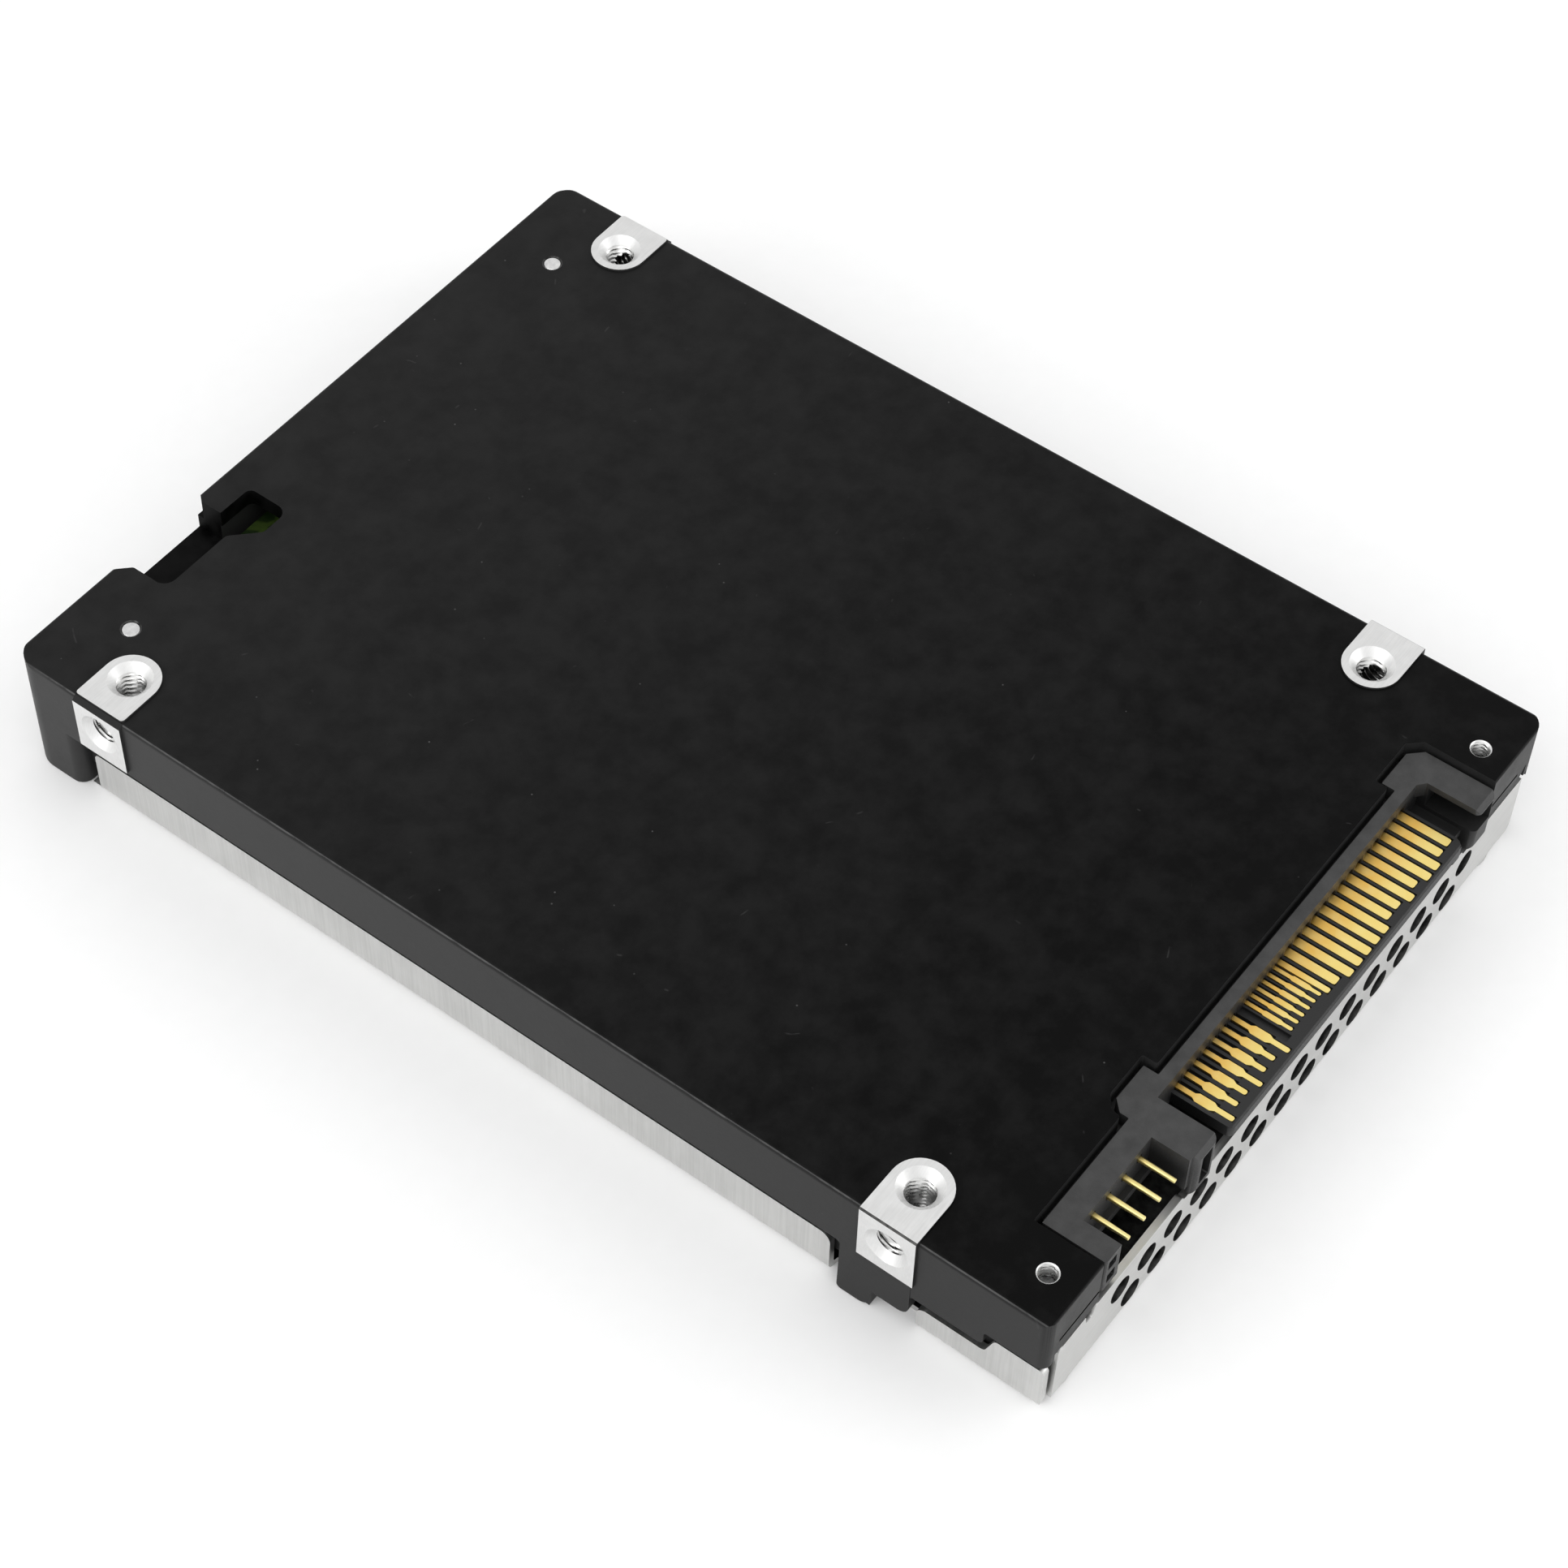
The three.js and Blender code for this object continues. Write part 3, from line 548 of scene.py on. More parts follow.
def sheet_look():
    """Bare sheet steel whose rolling grain stands upright on the long flanges."""
    look = Look("sheet_steel", (0.58, 0.58, 0.57), 0.36, 1.0)
    upright = look.noise(1.0, 4, (0.05, 5.5, 0.12), 0.6)
    along = look.noise(1.0, 4, (0.08, 1.0, 5.5), 0.6)
    turn = look.band(look.facing("Y"), 0.5, 0.8)
    grain = look.add("Mix", {0: turn, 2: upright, 3: along})
    cloud = look.noise(0.25, 3)
    shade = look.math("ADD", look.band(grain, 0.35, 0.65, 0, 0.65), look.band(cloud, 0.35, 0.65, 0, 0.35))
    look.color(look.blend(shade, (0.54, 0.54, 0.53), (0.67, 0.67, 0.66)))
    look.roughness(look.band(grain, 0.3, 0.7, 0.3, 0.46))
    look.bump(grain, 0.003, 0.45)
    return look.material


def shaded_sheet_look():
    """The cover's unlit side and punched edges: the same sheet, duller, painted nearly black as shade."""
    look = Look("sheet_steel_painted_shade", (0.05, 0.05, 0.05), 0.5, 1.0)
    stain = look.noise(1.2, 4)
    look.color(look.blend(look.band(stain, 0.3, 0.7), (0.02, 0.02, 0.02), (0.09, 0.09, 0.088)))
    look.roughness(look.band(stain, 0.3, 0.7, 0.4, 0.6))
    look.bump(look.noise(5, 2), 0.004, 0.5)
    return look.material


def housing_look():
    """Dark glass-filled plastic with a dry, faintly cloudy top face; lower down it is painted darker as
    shade, nearly black from the blade's top down.
    """
    look = Look("housing_plastic", (0.03, 0.03, 0.03), 0.5, 0.0, 0.5)
    cloud = look.noise(0.7, 4)
    grain = look.noise(9, 2)
    cloudy_top = look.blend(look.band(cloud, 0.3, 0.7), (0.02, 0.02, 0.02), (0.038, 0.038, 0.038))
    # painted shade: the colour fades to nearly black from the top face down to the blade's top, standing in
    # for the recesses' shade
    raised = look.band(look.axis("Z"), (BLADE_TOP + 0.1) * MM, (PLUG_HIGH.z - 0.1) * MM)
    look.color(look.blend(raised, (0.006, 0.006, 0.006), cloudy_top))
    look.roughness(look.band(grain, 0.3, 0.7, 0.42, 0.6))
    look.bump(grain, 0.006, 0.7)
    return look.material


def gold_look(name, root, tip, bright):
    """Gold flash over nickel: a deeper tint near the root of each contact, with slight clouding."""
    look = Look(name, tip, 0.28, 1.0)
    cloud = look.noise(0.8, 2)
    along = look.band(look.axis("Y"), -46.2 * MM, -48.0 * MM)
    tint = look.blend(along, root, tip)
    look.color(look.blend(look.band(cloud, 0.4, 0.7, 0, 0.3), tint, bright))
    look.roughness(look.band(cloud, 0.3, 0.7, 0.34, 0.44))
    look.bump(look.noise(2.5, 1), 0.0015, 0.3)
    return look.material


def screw_look():
    """Zinc-plated steel."""
    look = Look("plated_steel", (0.6, 0.6, 0.6), 0.34, 1.0)
    cloud = look.noise(1.8, 3)
    look.color(look.blend(look.band(cloud, 0.35, 0.65), (0.66, 0.66, 0.66), (0.84, 0.84, 0.83)))
    look.roughness(look.band(look.noise(6, 2), 0.3, 0.7, 0.26, 0.42))
    look.bump(look.noise(5, 2), 0.004, 0.4)
    return look.material


def board_look():
    """Green solder mask with copper traces faintly raised under it; its green is painted dark as shade, since
    the board lies in shade inside the casting.
    """
    look = Look("solder_mask", (0.03, 0.12, 0.03), 0.35)
    traces = look.band(look.cells(0.5, "DISTANCE_TO_EDGE"), 0.05, 0.12)
    weave = look.noise(2.5, 2)
    # painted shade: the mask and its traces are darker than a lit mask
    masked = look.blend(traces, (0.05, 0.085, 0.015), (0.008, 0.02, 0.005))
    look.color(look.blend(look.band(weave, 0.3, 0.7, 0, 0.4), masked, (0.03, 0.05, 0.012)))
    look.roughness(look.band(weave, 0.3, 0.7, 0.28, 0.42))
    look.bump(traces, 0.02, 0.5)
    return look.material


def chip_look():
    """Moulded epoxy package with a fine matte grain."""
    look = Look("moulded_package", (0.02, 0.02, 0.021), 0.55)
    grain = look.noise(6, 3)
    look.color(look.blend(look.band(grain, 0.3, 0.7), (0.015, 0.015, 0.016), (0.03, 0.03, 0.031)))
    look.roughness(look.band(grain, 0.3, 0.7, 0.45, 0.62))
    look.bump(grain, 0.005, 0.6)
    return look.material


def capacitor_look():
    """Plain dark sleeve, shrunk tight and slightly glossy."""
    look = Look("capacitor_sleeve", (0.02, 0.025, 0.05), 0.35)
    ripple = look.noise(0.8, 3, (0.4, 1, 1))
    look.color(look.blend(look.band(ripple, 0.3, 0.7), (0.016, 0.02, 0.042), (0.03, 0.035, 0.06)))
    look.roughness(look.band(ripple, 0.3, 0.7, 0.28, 0.42))
    look.bump(ripple, 0.03, 0.4)
    return look.material


def pad_look():
    """Soft grey gap filler with a filler's fine speckle."""
    look = Look("thermal_gap_pad", (0.3, 0.33, 0.38), 0.85)
    speckle = look.noise(4, 3)
    look.color(look.blend(look.band(speckle, 0.3, 0.7), (0.25, 0.28, 0.33), (0.37, 0.4, 0.45)))
    look.roughness(look.band(speckle, 0.3, 0.7, 0.78, 0.92))
    look.bump(speckle, 0.02, 0.6)
    return look.material


def floor_look():
    """Matte white paper sweep."""
    look = Look("studio_floor", (0.945, 0.945, 0.945), 0.9, 0.0, 0.1)
    fibre = look.noise(0.5, 3)
    look.color(look.blend(look.band(fibre, 0.3, 0.7), (0.94, 0.94, 0.94), (0.95, 0.95, 0.95)))
    return look.material


COATING = coating_look()
RECESS = recess_shade_look()
EDGE_HIGHLIGHT = edge_highlight_look()
MACHINED = machined_look()
THREAD = thread_look("tapped_flank", (0.62, 0.62, 0.61), (0.82, 0.82, 0.81))
# A nearly black copy of the tapped aluminium: painted shade on the thread flanks behind the mouth and all
# through the far cover-screw holes, and the worn coat on the near pads' chamfers.
THREAD_SHADE_AND_WORN_CHAMFER = thread_look("tapped_shade_and_worn_chamfer", (0.02, 0.02, 0.02), (0.07, 0.07, 0.068))
STEEL = sheet_look()
STEEL_IN_SHADE = shaded_sheet_look()
PLASTIC = housing_look()
GOLD = gold_look("gold_plating", (0.9, 0.56, 0.13), (1.0, 0.79, 0.26), (1.0, 0.88, 0.42))
PIN_GOLD = gold_look("pin_plating", (0.92, 0.72, 0.25), (0.97, 0.84, 0.37), (1.0, 0.92, 0.52))
PLATED = screw_look()


# ------------ base casting


def cast_body():
    """The plate with its walls all round, rounded along its upper edges."""
    outline = [
        (-WALL, FRONT, NEAR_LEFT_CORNER), (WALL, FRONT, NEAR_RIGHT_CORNER),
        (WALL, FAR, FAR_CORNER), (-WALL, FAR, FAR_CORNER),
    ]
    body = prism(outline, CAST_BOTTOM, PLATE_TOP, steps=8)
    lengthwise = [(-WALL, BELOW), (WALL, BELOW), (WALL, PLATE_TOP, TOP_ROUND), (-WALL, PLATE_TOP, TOP_ROUND)]
    crosswise = [
        (FRONT, CAST_BOTTOM), (FAR, CAST_BOTTOM, 1.5),
        (FAR, PLATE_TOP, END_ROUND), (FRONT, PLATE_TOP, NEAR_ROUND),
    ]
    trim(body, prism(lengthwise, FRONT - 1, FAR + 1, "Y"), prism(crosswise, -EDGE - 1, EDGE + 1, "X"))
    front_wall = 1.45
    inside = WALL - WALL_THICK
    cavity = rectangle(-inside, inside, FRONT + front_wall, FAR - WALL_THICK, 1.5)
    return cut(body, prism(cavity, BELOW, PLATE_UNDER))


def skirt_cutter(side):
    """What is cut away under one side wall: beside the flange, over the foot's shelf and over the hook."""
    ends = FRONT - 1
    low, high = HOOK_CAST
    outline = [(LEG, BELOW), (LEG, SKIRT, 0.3), (FOOT_FAR, SKIRT, 0.5), (FOOT_FAR, BELOW)]
    near = [
        (FOOT_STEP, BELOW), (FOOT_STEP - 0.15, SHELF, 0.2), (FOOT_NEAR, SHELF, 0.9), (FOOT_NEAR, low, 0.3),
        (HOOK, low, 0.5), (HOOK, high, 0.3), (ends, high), (ends, BELOW),
    ]
    x0, x1 = across(side, OUTER_SKIN, EDGE + 1)
    skin = side * OUTER_SKIN
    face = side * WALL
    leg_corner = [
        (skin, LEG - 1), (skin, LEG), (face, LEG, 1.1), (face, LEG + 2),
        (face + side, LEG + 2), (face + side, LEG - 1),
    ]
    return [prism(outline, x0, x1, "X"), prism(near, x0, x1, "X"), prism(leg_corner, BELOW, SKIRT - 0.01)]


def inner_cutters(side):
    """Room for the cover's floor and flanges behind the outer walls."""
    inner = across(side, WALL - 4, OUTER_SKIN)
    through = across(side, WALL - 4, EDGE + 1)
    return [
        block(*inner, FRONT - 1, LEG, BELOW, INNER_BOTTOM),
        block(*through, FOOT_NEAR, FOOT_STEP, BELOW, SHELF),
    ]


def end_cutters():
    """The far wall above its flange, and the connector-end wall with its recessed band."""
    wide = EDGE + 1
    front = (FRONT - 1, FRONT + 2.05)
    skin = FAR - 1.4
    post_bottom = HOOK_CAST[1]
    gap = [(BAND_GROOVE_X[1], 7.3), (32.5, 7.3), (32.6, 9.0, 0.1)]
    return [
        block(-LEG_X, LEG_X, skin, FAR + 1, BELOW, SKIRT),
        block(-LEG_X, LEG_X, FAR - 4, skin, BELOW, INNER_BOTTOM),
        block(-wide, wide, *front, BELOW, post_bottom),
        block(-POST, POST, *front, post_bottom - 0.1, COVER_HIGH.z + 0.1),
        block(*BAND_GROOVE_X, FRONT - 1, FRONT + 0.5, *BAND_GROOVE_Z),
        prism(gap, FRONT - 1, FRONT + 0.7, "Y"),
        block(*NOTCH_X, FAR - 4, FAR + 1, NOTCH_LEDGE, ABOVE),
    ]


def plug_opening(margin=0.45):
    """The cutout that the connector housing stands in."""
    left = HEADER_LEFT - margin
    right = RIGHT_ARM[1] + margin
    header, shoulder, back, arm = (y + margin for y in (HEADER_END, SHOULDER_END, BLADE_END, ARM_END))
    header_x = LEFT_ARM[0] - margin - 0.1
    shoulder_x = SHOULDER_X + margin
    arm_x = ARM_X - margin
    return prism([
        (left, FRONT - 2), (right, FRONT - 2), (right, arm - ARM_CHAMFER), (right - ARM_CHAMFER, arm),
        (arm_x, arm, 0.2), (arm_x, back, 0.2), (shoulder_x, back, 0.2), (shoulder_x, shoulder, 0.2),
        (-15.8, shoulder, 0.8), (header_x, shoulder - 0.9, 0.6), (header_x, header, 0.3),
        (left, header, 0.15),
    ], BELOW, ABOVE)


def far_notch():
    """The access notch and pocket in the far end."""
    left = NOTCH_X[0]
    return prism([
        (left - 1.6, FAR + 1.5), (left - 1.1, FAR - 0.2, 0.5), (left, FAR - 1.3, 0.4), (left, 45.25, 1.1),
        (-14.9, 45.25, 0.5), (-12.7, 43.1, 0.7), (-9.8, 43.1, 1.0), (-9.8, 47.25, 0.6), (-13.2, 47.3, 0.6),
        (-14.9, 47.65, 0.35), (-12.6, FAR + 0.1), (-12.6, FAR + 1.5),
    ], PLATE_UNDER - 0.5, ABOVE)


def bosses():
    """Metal around the mounting holes and the cover screws, and the posts that the board hangs from."""
    solids = []
    reach = 3.2
    into_plate = PLATE_UNDER + 0.2
    for side in SIDES:
        for y in (NEAR_HOLE_Y, FAR_HOLE_Y):
            x0, x1 = across(side, HOLE_X - 2.6, WALL - 0.2)
            outline = rectangle(x0, x1, y - reach, y + reach, 0.5)
            solids.append(prism(outline, SIDE_PAD_BOTTOM - 0.5, into_plate))
    for names, radius, start, end in (
        (COVER_SCREWS, 1.8, 1.8, PLATE_TOP - 0.3),
        (BOARD_SCREWS, 1.9, BOARD_TOP + 0.05, into_plate),
    ):
        for name in names:
            spot = middle(name)
            solids.append(cylinder(radius, (spot.x, spot.y, start), end - start, steps=24))
    return solids


def foot(side):
    """The foot and shelf below the wall, drafted outwards as they go down."""
    top = SKIRT + 0.6
    outline = [
        (FOOT_FAR, top), (FOOT_FAR, CAST_BOTTOM + 0.05, 0.4), (FOOT_STEP, CAST_BOTTOM + 0.05, 1.0),
        (FOOT_STEP - 0.15, SHELF, 0.2), (FOOT_NEAR, SHELF, 0.9), (FOOT_NEAR, top),
    ]
    piece = prism(outline, *across(side, OUTER_SKIN, WALL), "X")
    flare = (EDGE - 0.1 - WALL) / top
    for vertex in piece.data.vertices:
        if abs(vertex.co.x) > WALL - 0.5:
            vertex.co.x += side * flare * (top - vertex.co.z)
    return piece


def top_pad(side, y, reach, corner):
    """A D-shaped machined pad: round around its hole and square towards the side."""
    inner = HOLE_X - PAD_HALF
    points = [
        (side * inner, y - PAD_HALF, PAD_HALF - 0.001), (side * reach, y - PAD_HALF, corner),
        (side * reach, y + PAD_HALF, corner), (side * inner, y + PAD_HALF, PAD_HALF - 0.001),
    ]
    return prism(points, SIDE_PAD_BOTTOM, TOP, steps=10)


def near_mount(side):
    """One block whose top and side are both machined, with a bare chamfer between them."""
    pad = top_pad(side, NEAR_HOLE_Y, EDGE, 0.02)
    inside = side * (HOLE_X - PAD_HALF - 1)
    outside = side * EDGE
    outline = [
        (inside, SIDE_PAD_BOTTOM - 1), (outside, SIDE_PAD_BOTTOM - 1), (outside, TOP - NEAR_CHAMFER),
        (outside - side * NEAR_CHAMFER, TOP), (inside, TOP),
    ]
    return trim(pad, prism(outline, NEAR_HOLE_Y - 5, NEAR_HOLE_Y + 5, "Y"))


def far_mount(side):
    """A top pad that stops short of the edge, and a side pad below a coated chamfer."""
    pad = top_pad(side, FAR_HOLE_Y, EDGE - 0.47, 0.3)
    outside = side * EDGE
    outline = [
        (side * (WALL - 1), SIDE_PAD_BOTTOM), (outside, SIDE_PAD_BOTTOM), (outside, TOP - 0.62),
        (outside - side * 0.42, PLATE_TOP), (side * (WALL - 1), PLATE_TOP - 0.05),
    ]
    return [pad, prism(outline, FAR_HOLE_Y - PAD_HALF, FAR_HOLE_Y + PAD_HALF, "Y")]


def machined_pads():
    return [piece for side in SIDES for piece in (near_mount(side), *far_mount(side))]


def tapped_cutters():
    """Cutters for the M3 holes and for the cover screws' holes."""
    cutters = []
    for side in SIDES:
        for y in (NEAR_HOLE_Y, FAR_HOLE_Y):
            cutters.append(tapped_hole(M3, (side * HOLE_X, y, TOP), "-Z", 5.2))
            cutters.append(tapped_hole(M3, (side * EDGE, y, SIDE_HOLE_Z), "-X" if side > 0 else "X", 3.3))
    for name in COVER_SCREWS:
        spot = middle(name)
        hole = tapped_hole(M2, (spot.x, spot.y, PLATE_TOP), "-Z", PLATE_TOP + 0.5)
        # the far holes take the painted-shade tapped material all through
        if spot.y > 0:
            paint(hole, 3)
        cutters.append(hole)
    return cutters


def is_machined(centre, normal):
    """True on the faces that the cutter leaves bare."""
    flat_top = centre.z > TOP - 0.02 and normal.z > 0.9
    flat_side = abs(centre.x) > EDGE - 0.02 and abs(normal.x) > 0.9 and centre.z > SIDE_PAD_BOTTOM
    return flat_top or flat_side


def is_worn(centre, normal):
    """True on the connector-side pads' chamfers, where little coating is left."""
    near = abs(centre.y - NEAR_HOLE_Y) < PAD_HALF and centre.z > TOP - 0.3
    return near and abs(centre.x) > EDGE - 0.25 and 0.4 < abs(normal.x) < 0.95


def is_in_notch_shade(centre, normal):
    """True on the ledge and walls of the far notch, below its upper edge, which are painted with shade."""
    inside = -24.5 < centre.x < -9.7 and centre.y > 43.0
    return inside and centre.z < PLATE_TOP - 0.12 and (normal.z > 0.9 or centre.y < FAR - 0.3)


def is_highlighted_edge(centre, normal):
    """True on the narrow bevel round the far notch and the plug's opening, and along the -X top edge: the
    faces that get the painted highlight.
    """
    if -WALL < centre.x < TOP_ROUND - WALL and centre.z > PLATE_TOP - TOP_ROUND:
        return 0.5 < normal.z < 0.75
    bevel = 0.2 < normal.z < 0.97 and centre.z > PLATE_TOP - 0.2
    notch = -23.5 < centre.x < -9.5 and 42.9 < centre.y < FAR - 0.3
    opening = HEADER_LEFT - 0.7 < centre.x < RIGHT_ARM[1] + 0.7 and centre.y < -41.7
    return bevel and (notch or opening)


def build_casting():
    body = cast_body()
    cut(body, *[c for side in SIDES for c in skirt_cutter(side) + inner_cutters(side)], *end_cutters())
    join(body, *bosses(), *both_sides(foot))
    cut(body, plug_opening(), far_notch())
    soften(body, 0.13)
    join(body, *machined_pads())
    tidy(body, 0.001, 0.2)
    # painted shade on the far notch's ledge and walls
    paint(body, 4, is_in_notch_shade)
    # painted highlight on those bevels and on the -X top edge's rounding
    paint(body, 5, is_highlighted_edge)
    paint(body, 1, is_machined)
    paint(body, 3, is_worn)
    cut(body, *tapped_cutters())
    looks = (COATING, MACHINED, THREAD, THREAD_SHADE_AND_WORN_CHAMFER, RECESS, EDGE_HIGHLIGHT)
    return finish(body, "drive_base", looks, ("base_casting",))


# ------------ steel cover


def rounded_block(inset, radius):
    """A block with the cover's outer size less an inset, rounded along its lower edges."""
    x = COVER_HIGH.x - inset
    near = COVER_LOW.y + inset
    far = COVER_HIGH.y - inset
    high = COVER_HIGH.z + 1 + inset
    body = prism([(-x, inset, radius), (x, inset, radius), (x, high), (-x, high)], near, far, "Y", 8)
    crosswise = [(near, inset, radius), (far, inset, radius), (far, high + 1), (near, high + 1)]
    return trim(body, prism(crosswise, -x - 1, x + 1, "X", 8))


def above_side_flange(side):
    """Everything outside the two stretches of one long flange, drawn in Y,Z."""
    high = OVER_COVER
    low = UNDER_COVER
    near = COVER_LOW.y + (SEAM if side < 0 else 1.1)
    far = LEG - 1.4
    under = -0.02
    hook_low, hook_high = HOOK_COVER
    gap_near, gap_far = FLANGE_GAP
    outline = [
        (COVER_LOW.y - 1, high), (COVER_LOW.y - 1, low), (near + 2, low), (near + 2, under),
        (near, under, 1.1), (near, hook_high, 0.5), (HOOK - 0.7, hook_high, 0.5), (HOOK + 0.1, hook_low, 0.5),
        (gap_near, hook_low, 0.9), (gap_near, CLEAR), (gap_far, CLEAR), (gap_far, SIDE_FLANGE_TOP, 1.0),
        (far, SIDE_FLANGE_TOP, 0.6), (far, CLEAR), (COVER_HIGH.y + 1, CLEAR), (COVER_HIGH.y + 1, high),
    ]
    return prism(outline, *across(side, COVER_HIGH.x - SHEET - 0.1, COVER_HIGH.x + 1), "X", 6)


def above_front_flange():
    """The outline of the perforated flange, with a dip under each guide arm, drawn in X,Z."""
    high = COVER_HIGH.z
    air = OVER_COVER
    low = UNDER_COVER
    under = -0.02
    side = COVER_HIGH.x - SHEET - 0.05
    start, end = FRONT_FLANGE_X
    dips = []
    for x0, x1 in (LEFT_ARM, RIGHT_ARM):
        dips += [(x0 - 0.6, high, 0.3), (x0 - 0.4, 6.8, 0.3), (x1 + 0.3, 6.8, 0.3), (x1 + 0.5, high, 0.3)]
    outline = [
        (-side, air), (-side, low), (-31, low), (-31, under), (SEAM - side, under, 1.1), (start, high, 0.5),
        (-29.6, high, 0.15), (-29.5, 6.3, 0.25), (-28.7, 6.3, 0.25), (-28.3, high, 0.4), *dips,
        (end, high, 0.2), (end, under, 1.9), (29, under), (29, low), (side, low), (side, air),
    ]
    return prism(outline, COVER_LOW.y - 1, COVER_LOW.y + SHEET + 0.5, "Y", 6)


def above_far_flange():
    """The outline of the plain flange between the casting's far legs, drawn in X,Z."""
    air = OVER_COVER
    half = FAR_FLANGE_HALF
    wide = half + 0.9
    outline = [
        (-wide, air), (-wide, CLEAR), (-half, CLEAR), (-half, SIDE_FLANGE_TOP, 1.0),
        (half, SIDE_FLANGE_TOP, 1.0), (half, CLEAR), (wide, CLEAR), (wide, air),
    ]
    return prism(outline, COVER_HIGH.y - SHEET - 0.5, COVER_HIGH.y + 1, "Y", 6)


def floor_notches(side):
    """Openings in the floor for a foot and for a far leg."""
    x = COVER_HIGH.x
    high = COVER_HIGH.z + 4
    leg_x = LEG_X - 0.6
    foot_notch = prism(rectangle(*across(side, x - 1.25, x + 2), *FLANGE_GAP, 0.3), -1, high)
    leg_notch = prism(rectangle(*across(side, leg_x, x + 2), LEG - 0.4, COVER_HIGH.y + 2, 0.5), -1, high)
    return [foot_notch, leg_notch]


def vents():
    holes = []
    for z, count in VENT_ROWS:
        for i in range(count):
            x = VENT_MIDDLE + (i - (count - 1) / 2) * VENT_PITCH
            holes.append(cylinder(VENT_RADIUS, (x, COVER_LOW.y - 1, z), 2.5, "Y", 32))
    return holes


def floor_corner(side):
    """What rounds one near corner of the floor, seen from below."""
    x = side * COVER_HIGH.x
    y = COVER_LOW.y
    inner = x - 3 * side
    outer = x + side
    outline = [(outer, y - 1), (outer, y + 3), (x, y + 3), (x, y, 1.5), (inner, y), (inner, y - 1)]
    return prism(outline, UNDER_COVER, CLEAR)


def screw_dimples():
    """The raised seats, and the pockets and holes that the cover screws pass through."""
    seats = []
    pockets = []
    for name in COVER_SCREWS:
        spot = middle(name)
        seats.append(turned([(0.1, 2.65), (1.7, 2.3)], (spot.x, spot.y, 0)))
        pockets.append(turned([(-0.5, 2.3), (0.0, 2.2), (1.1, 2.0)], (spot.x, spot.y, 0)))
        pockets.append(cylinder(1.1, (spot.x, spot.y, 0.9), 2, steps=24))
    return seats, pockets


def build_cover():
    body = rounded_block(0, BEND)
    inside = rounded_block(SHEET, BEND - SHEET)
    # the cover's inner faces get the sheet's painted-shade copy
    paint(inside, 1)
    cut(body, inside)
    seats, pockets = screw_dimples()
    notches = [notch for side in SIDES for notch in floor_notches(side)]
    flanges = (*both_sides(above_side_flange), above_front_flange(), above_far_flange())
    cut(body, *flanges, *notches, *both_sides(floor_corner))
    join(body, *seats)
    holes = vents()
    # the vents' walls get the painted-shade copy too
    for hole in holes:
        paint(hole, 1)
    cut(body, *pockets, *holes)
    soften(body, 0.05)
    return finish(body, "bottom_cover", (STEEL, STEEL_IN_SHADE), ("steel_cover",))


# ------------ connector housing


def arch(x, half, z0, y0, y1):
    """A cutter with an arched top, standing on z0 and running along Y."""
    top = z0 + 2 * half + 0.1
    curve = half * 0.98
    outline = [(x - half, z0), (x + half, z0), (x + half, top, curve), (x - half, top, curve)]
    return prism(outline, y0, y1, "Y", 4)


def guide_arm(span):
    """One guide arm. The left one has a slot in its front face."""
    x0, x1 = span
    outline = [
        (PLUG_LOW.y, PLUG_LOW.z + 0.3), (PLUG_LOW.y, PLUG_HIGH.z - 0.45), (PLUG_LOW.y + 0.4, PLUG_HIGH.z),
        (ROOT + 0.5, PLUG_HIGH.z), (ROOT + 0.5, PLUG_LOW.z), (PLUG_LOW.y + 0.3, PLUG_LOW.z),
    ]
    arm = prism(outline, x0, x1, "X")
    plan = [(x0, PLUG_LOW.y, 0.5), (x1, PLUG_LOW.y, 0.5), (x1, ROOT + 1), (x0, ROOT + 1)]
    trim(arm, prism(plan, PLUG_LOW.z - 1, PLUG_HIGH.z + 1))
    if span is RIGHT_ARM:
        return arm
    centre = (x0 + x1) / 2
    half = 0.65
    slot = rectangle(centre - half, centre + half, PLUG_LOW.z + 0.8, PLUG_HIGH.z - half, 0.15)
    return cut(arm, prism(slot, PLUG_LOW.y - 1, PLUG_LOW.y + 2.2, "Y"))


def back_wall():
    """The wall that the contacts come out of, with tabs behind the guide arms."""
    right = RIGHT_ARM[1]
    header_x = LEFT_ARM[0] - 0.1
    return prism([
        (HEADER_LEFT, ROOT), (HEADER_LEFT, HEADER_END, 0.1), (header_x, HEADER_END, 0.1),
        (header_x, SHOULDER_END - 0.9), (-15.6, SHOULDER_END), (SHOULDER_X, SHOULDER_END, 0.1),
        (SHOULDER_X, BLADE_END, 0.1), (ARM_X, BLADE_END, 0.1), (ARM_X, ARM_END, 0.1),
        (right - ARM_CHAMFER, ARM_END), (right, ARM_END - ARM_CHAMFER), (right, ROOT),
    ], 8.8, PLUG_HIGH.z)


def blade():
    """The flat tongue, chamfered along its lip and round at its free corner, with a key at one end."""
    x0, x1 = BLADE_X
    low = BLADE_TOP - BLADE_THICK
    lip = 0.16
    back = ROOT + 0.4
    outline = [
        (PLUG_LOW.y, low + lip), (PLUG_LOW.y, BLADE_TOP - lip), (PLUG_LOW.y + lip, BLADE_TOP),
        (back, BLADE_TOP), (back, low), (PLUG_LOW.y + lip, low),
    ]
    tongue = prism(outline, x0, x1, "X")
    plan = [(x0, PLUG_LOW.y, 0.5), (x1, PLUG_LOW.y, 0.9), (x1, 0), (x0, 0)]
    trim(tongue, prism(plan, low - 1, BLADE_TOP + 1))
    x0, x1 = KEY_X
    tip = PLUG_LOW.y + 0.2
    key = prism([(x0, tip, 0.2), (x1, tip, 0.2), (x1, back), (x0, back)], low - 1.0, low + 0.4)
    stop = prism(rectangle(22.6, RIGHT_ARM[0] + 0.3, -48.9, back, 0.15), 8.2, 8.95)
    return [tongue, key, stop]


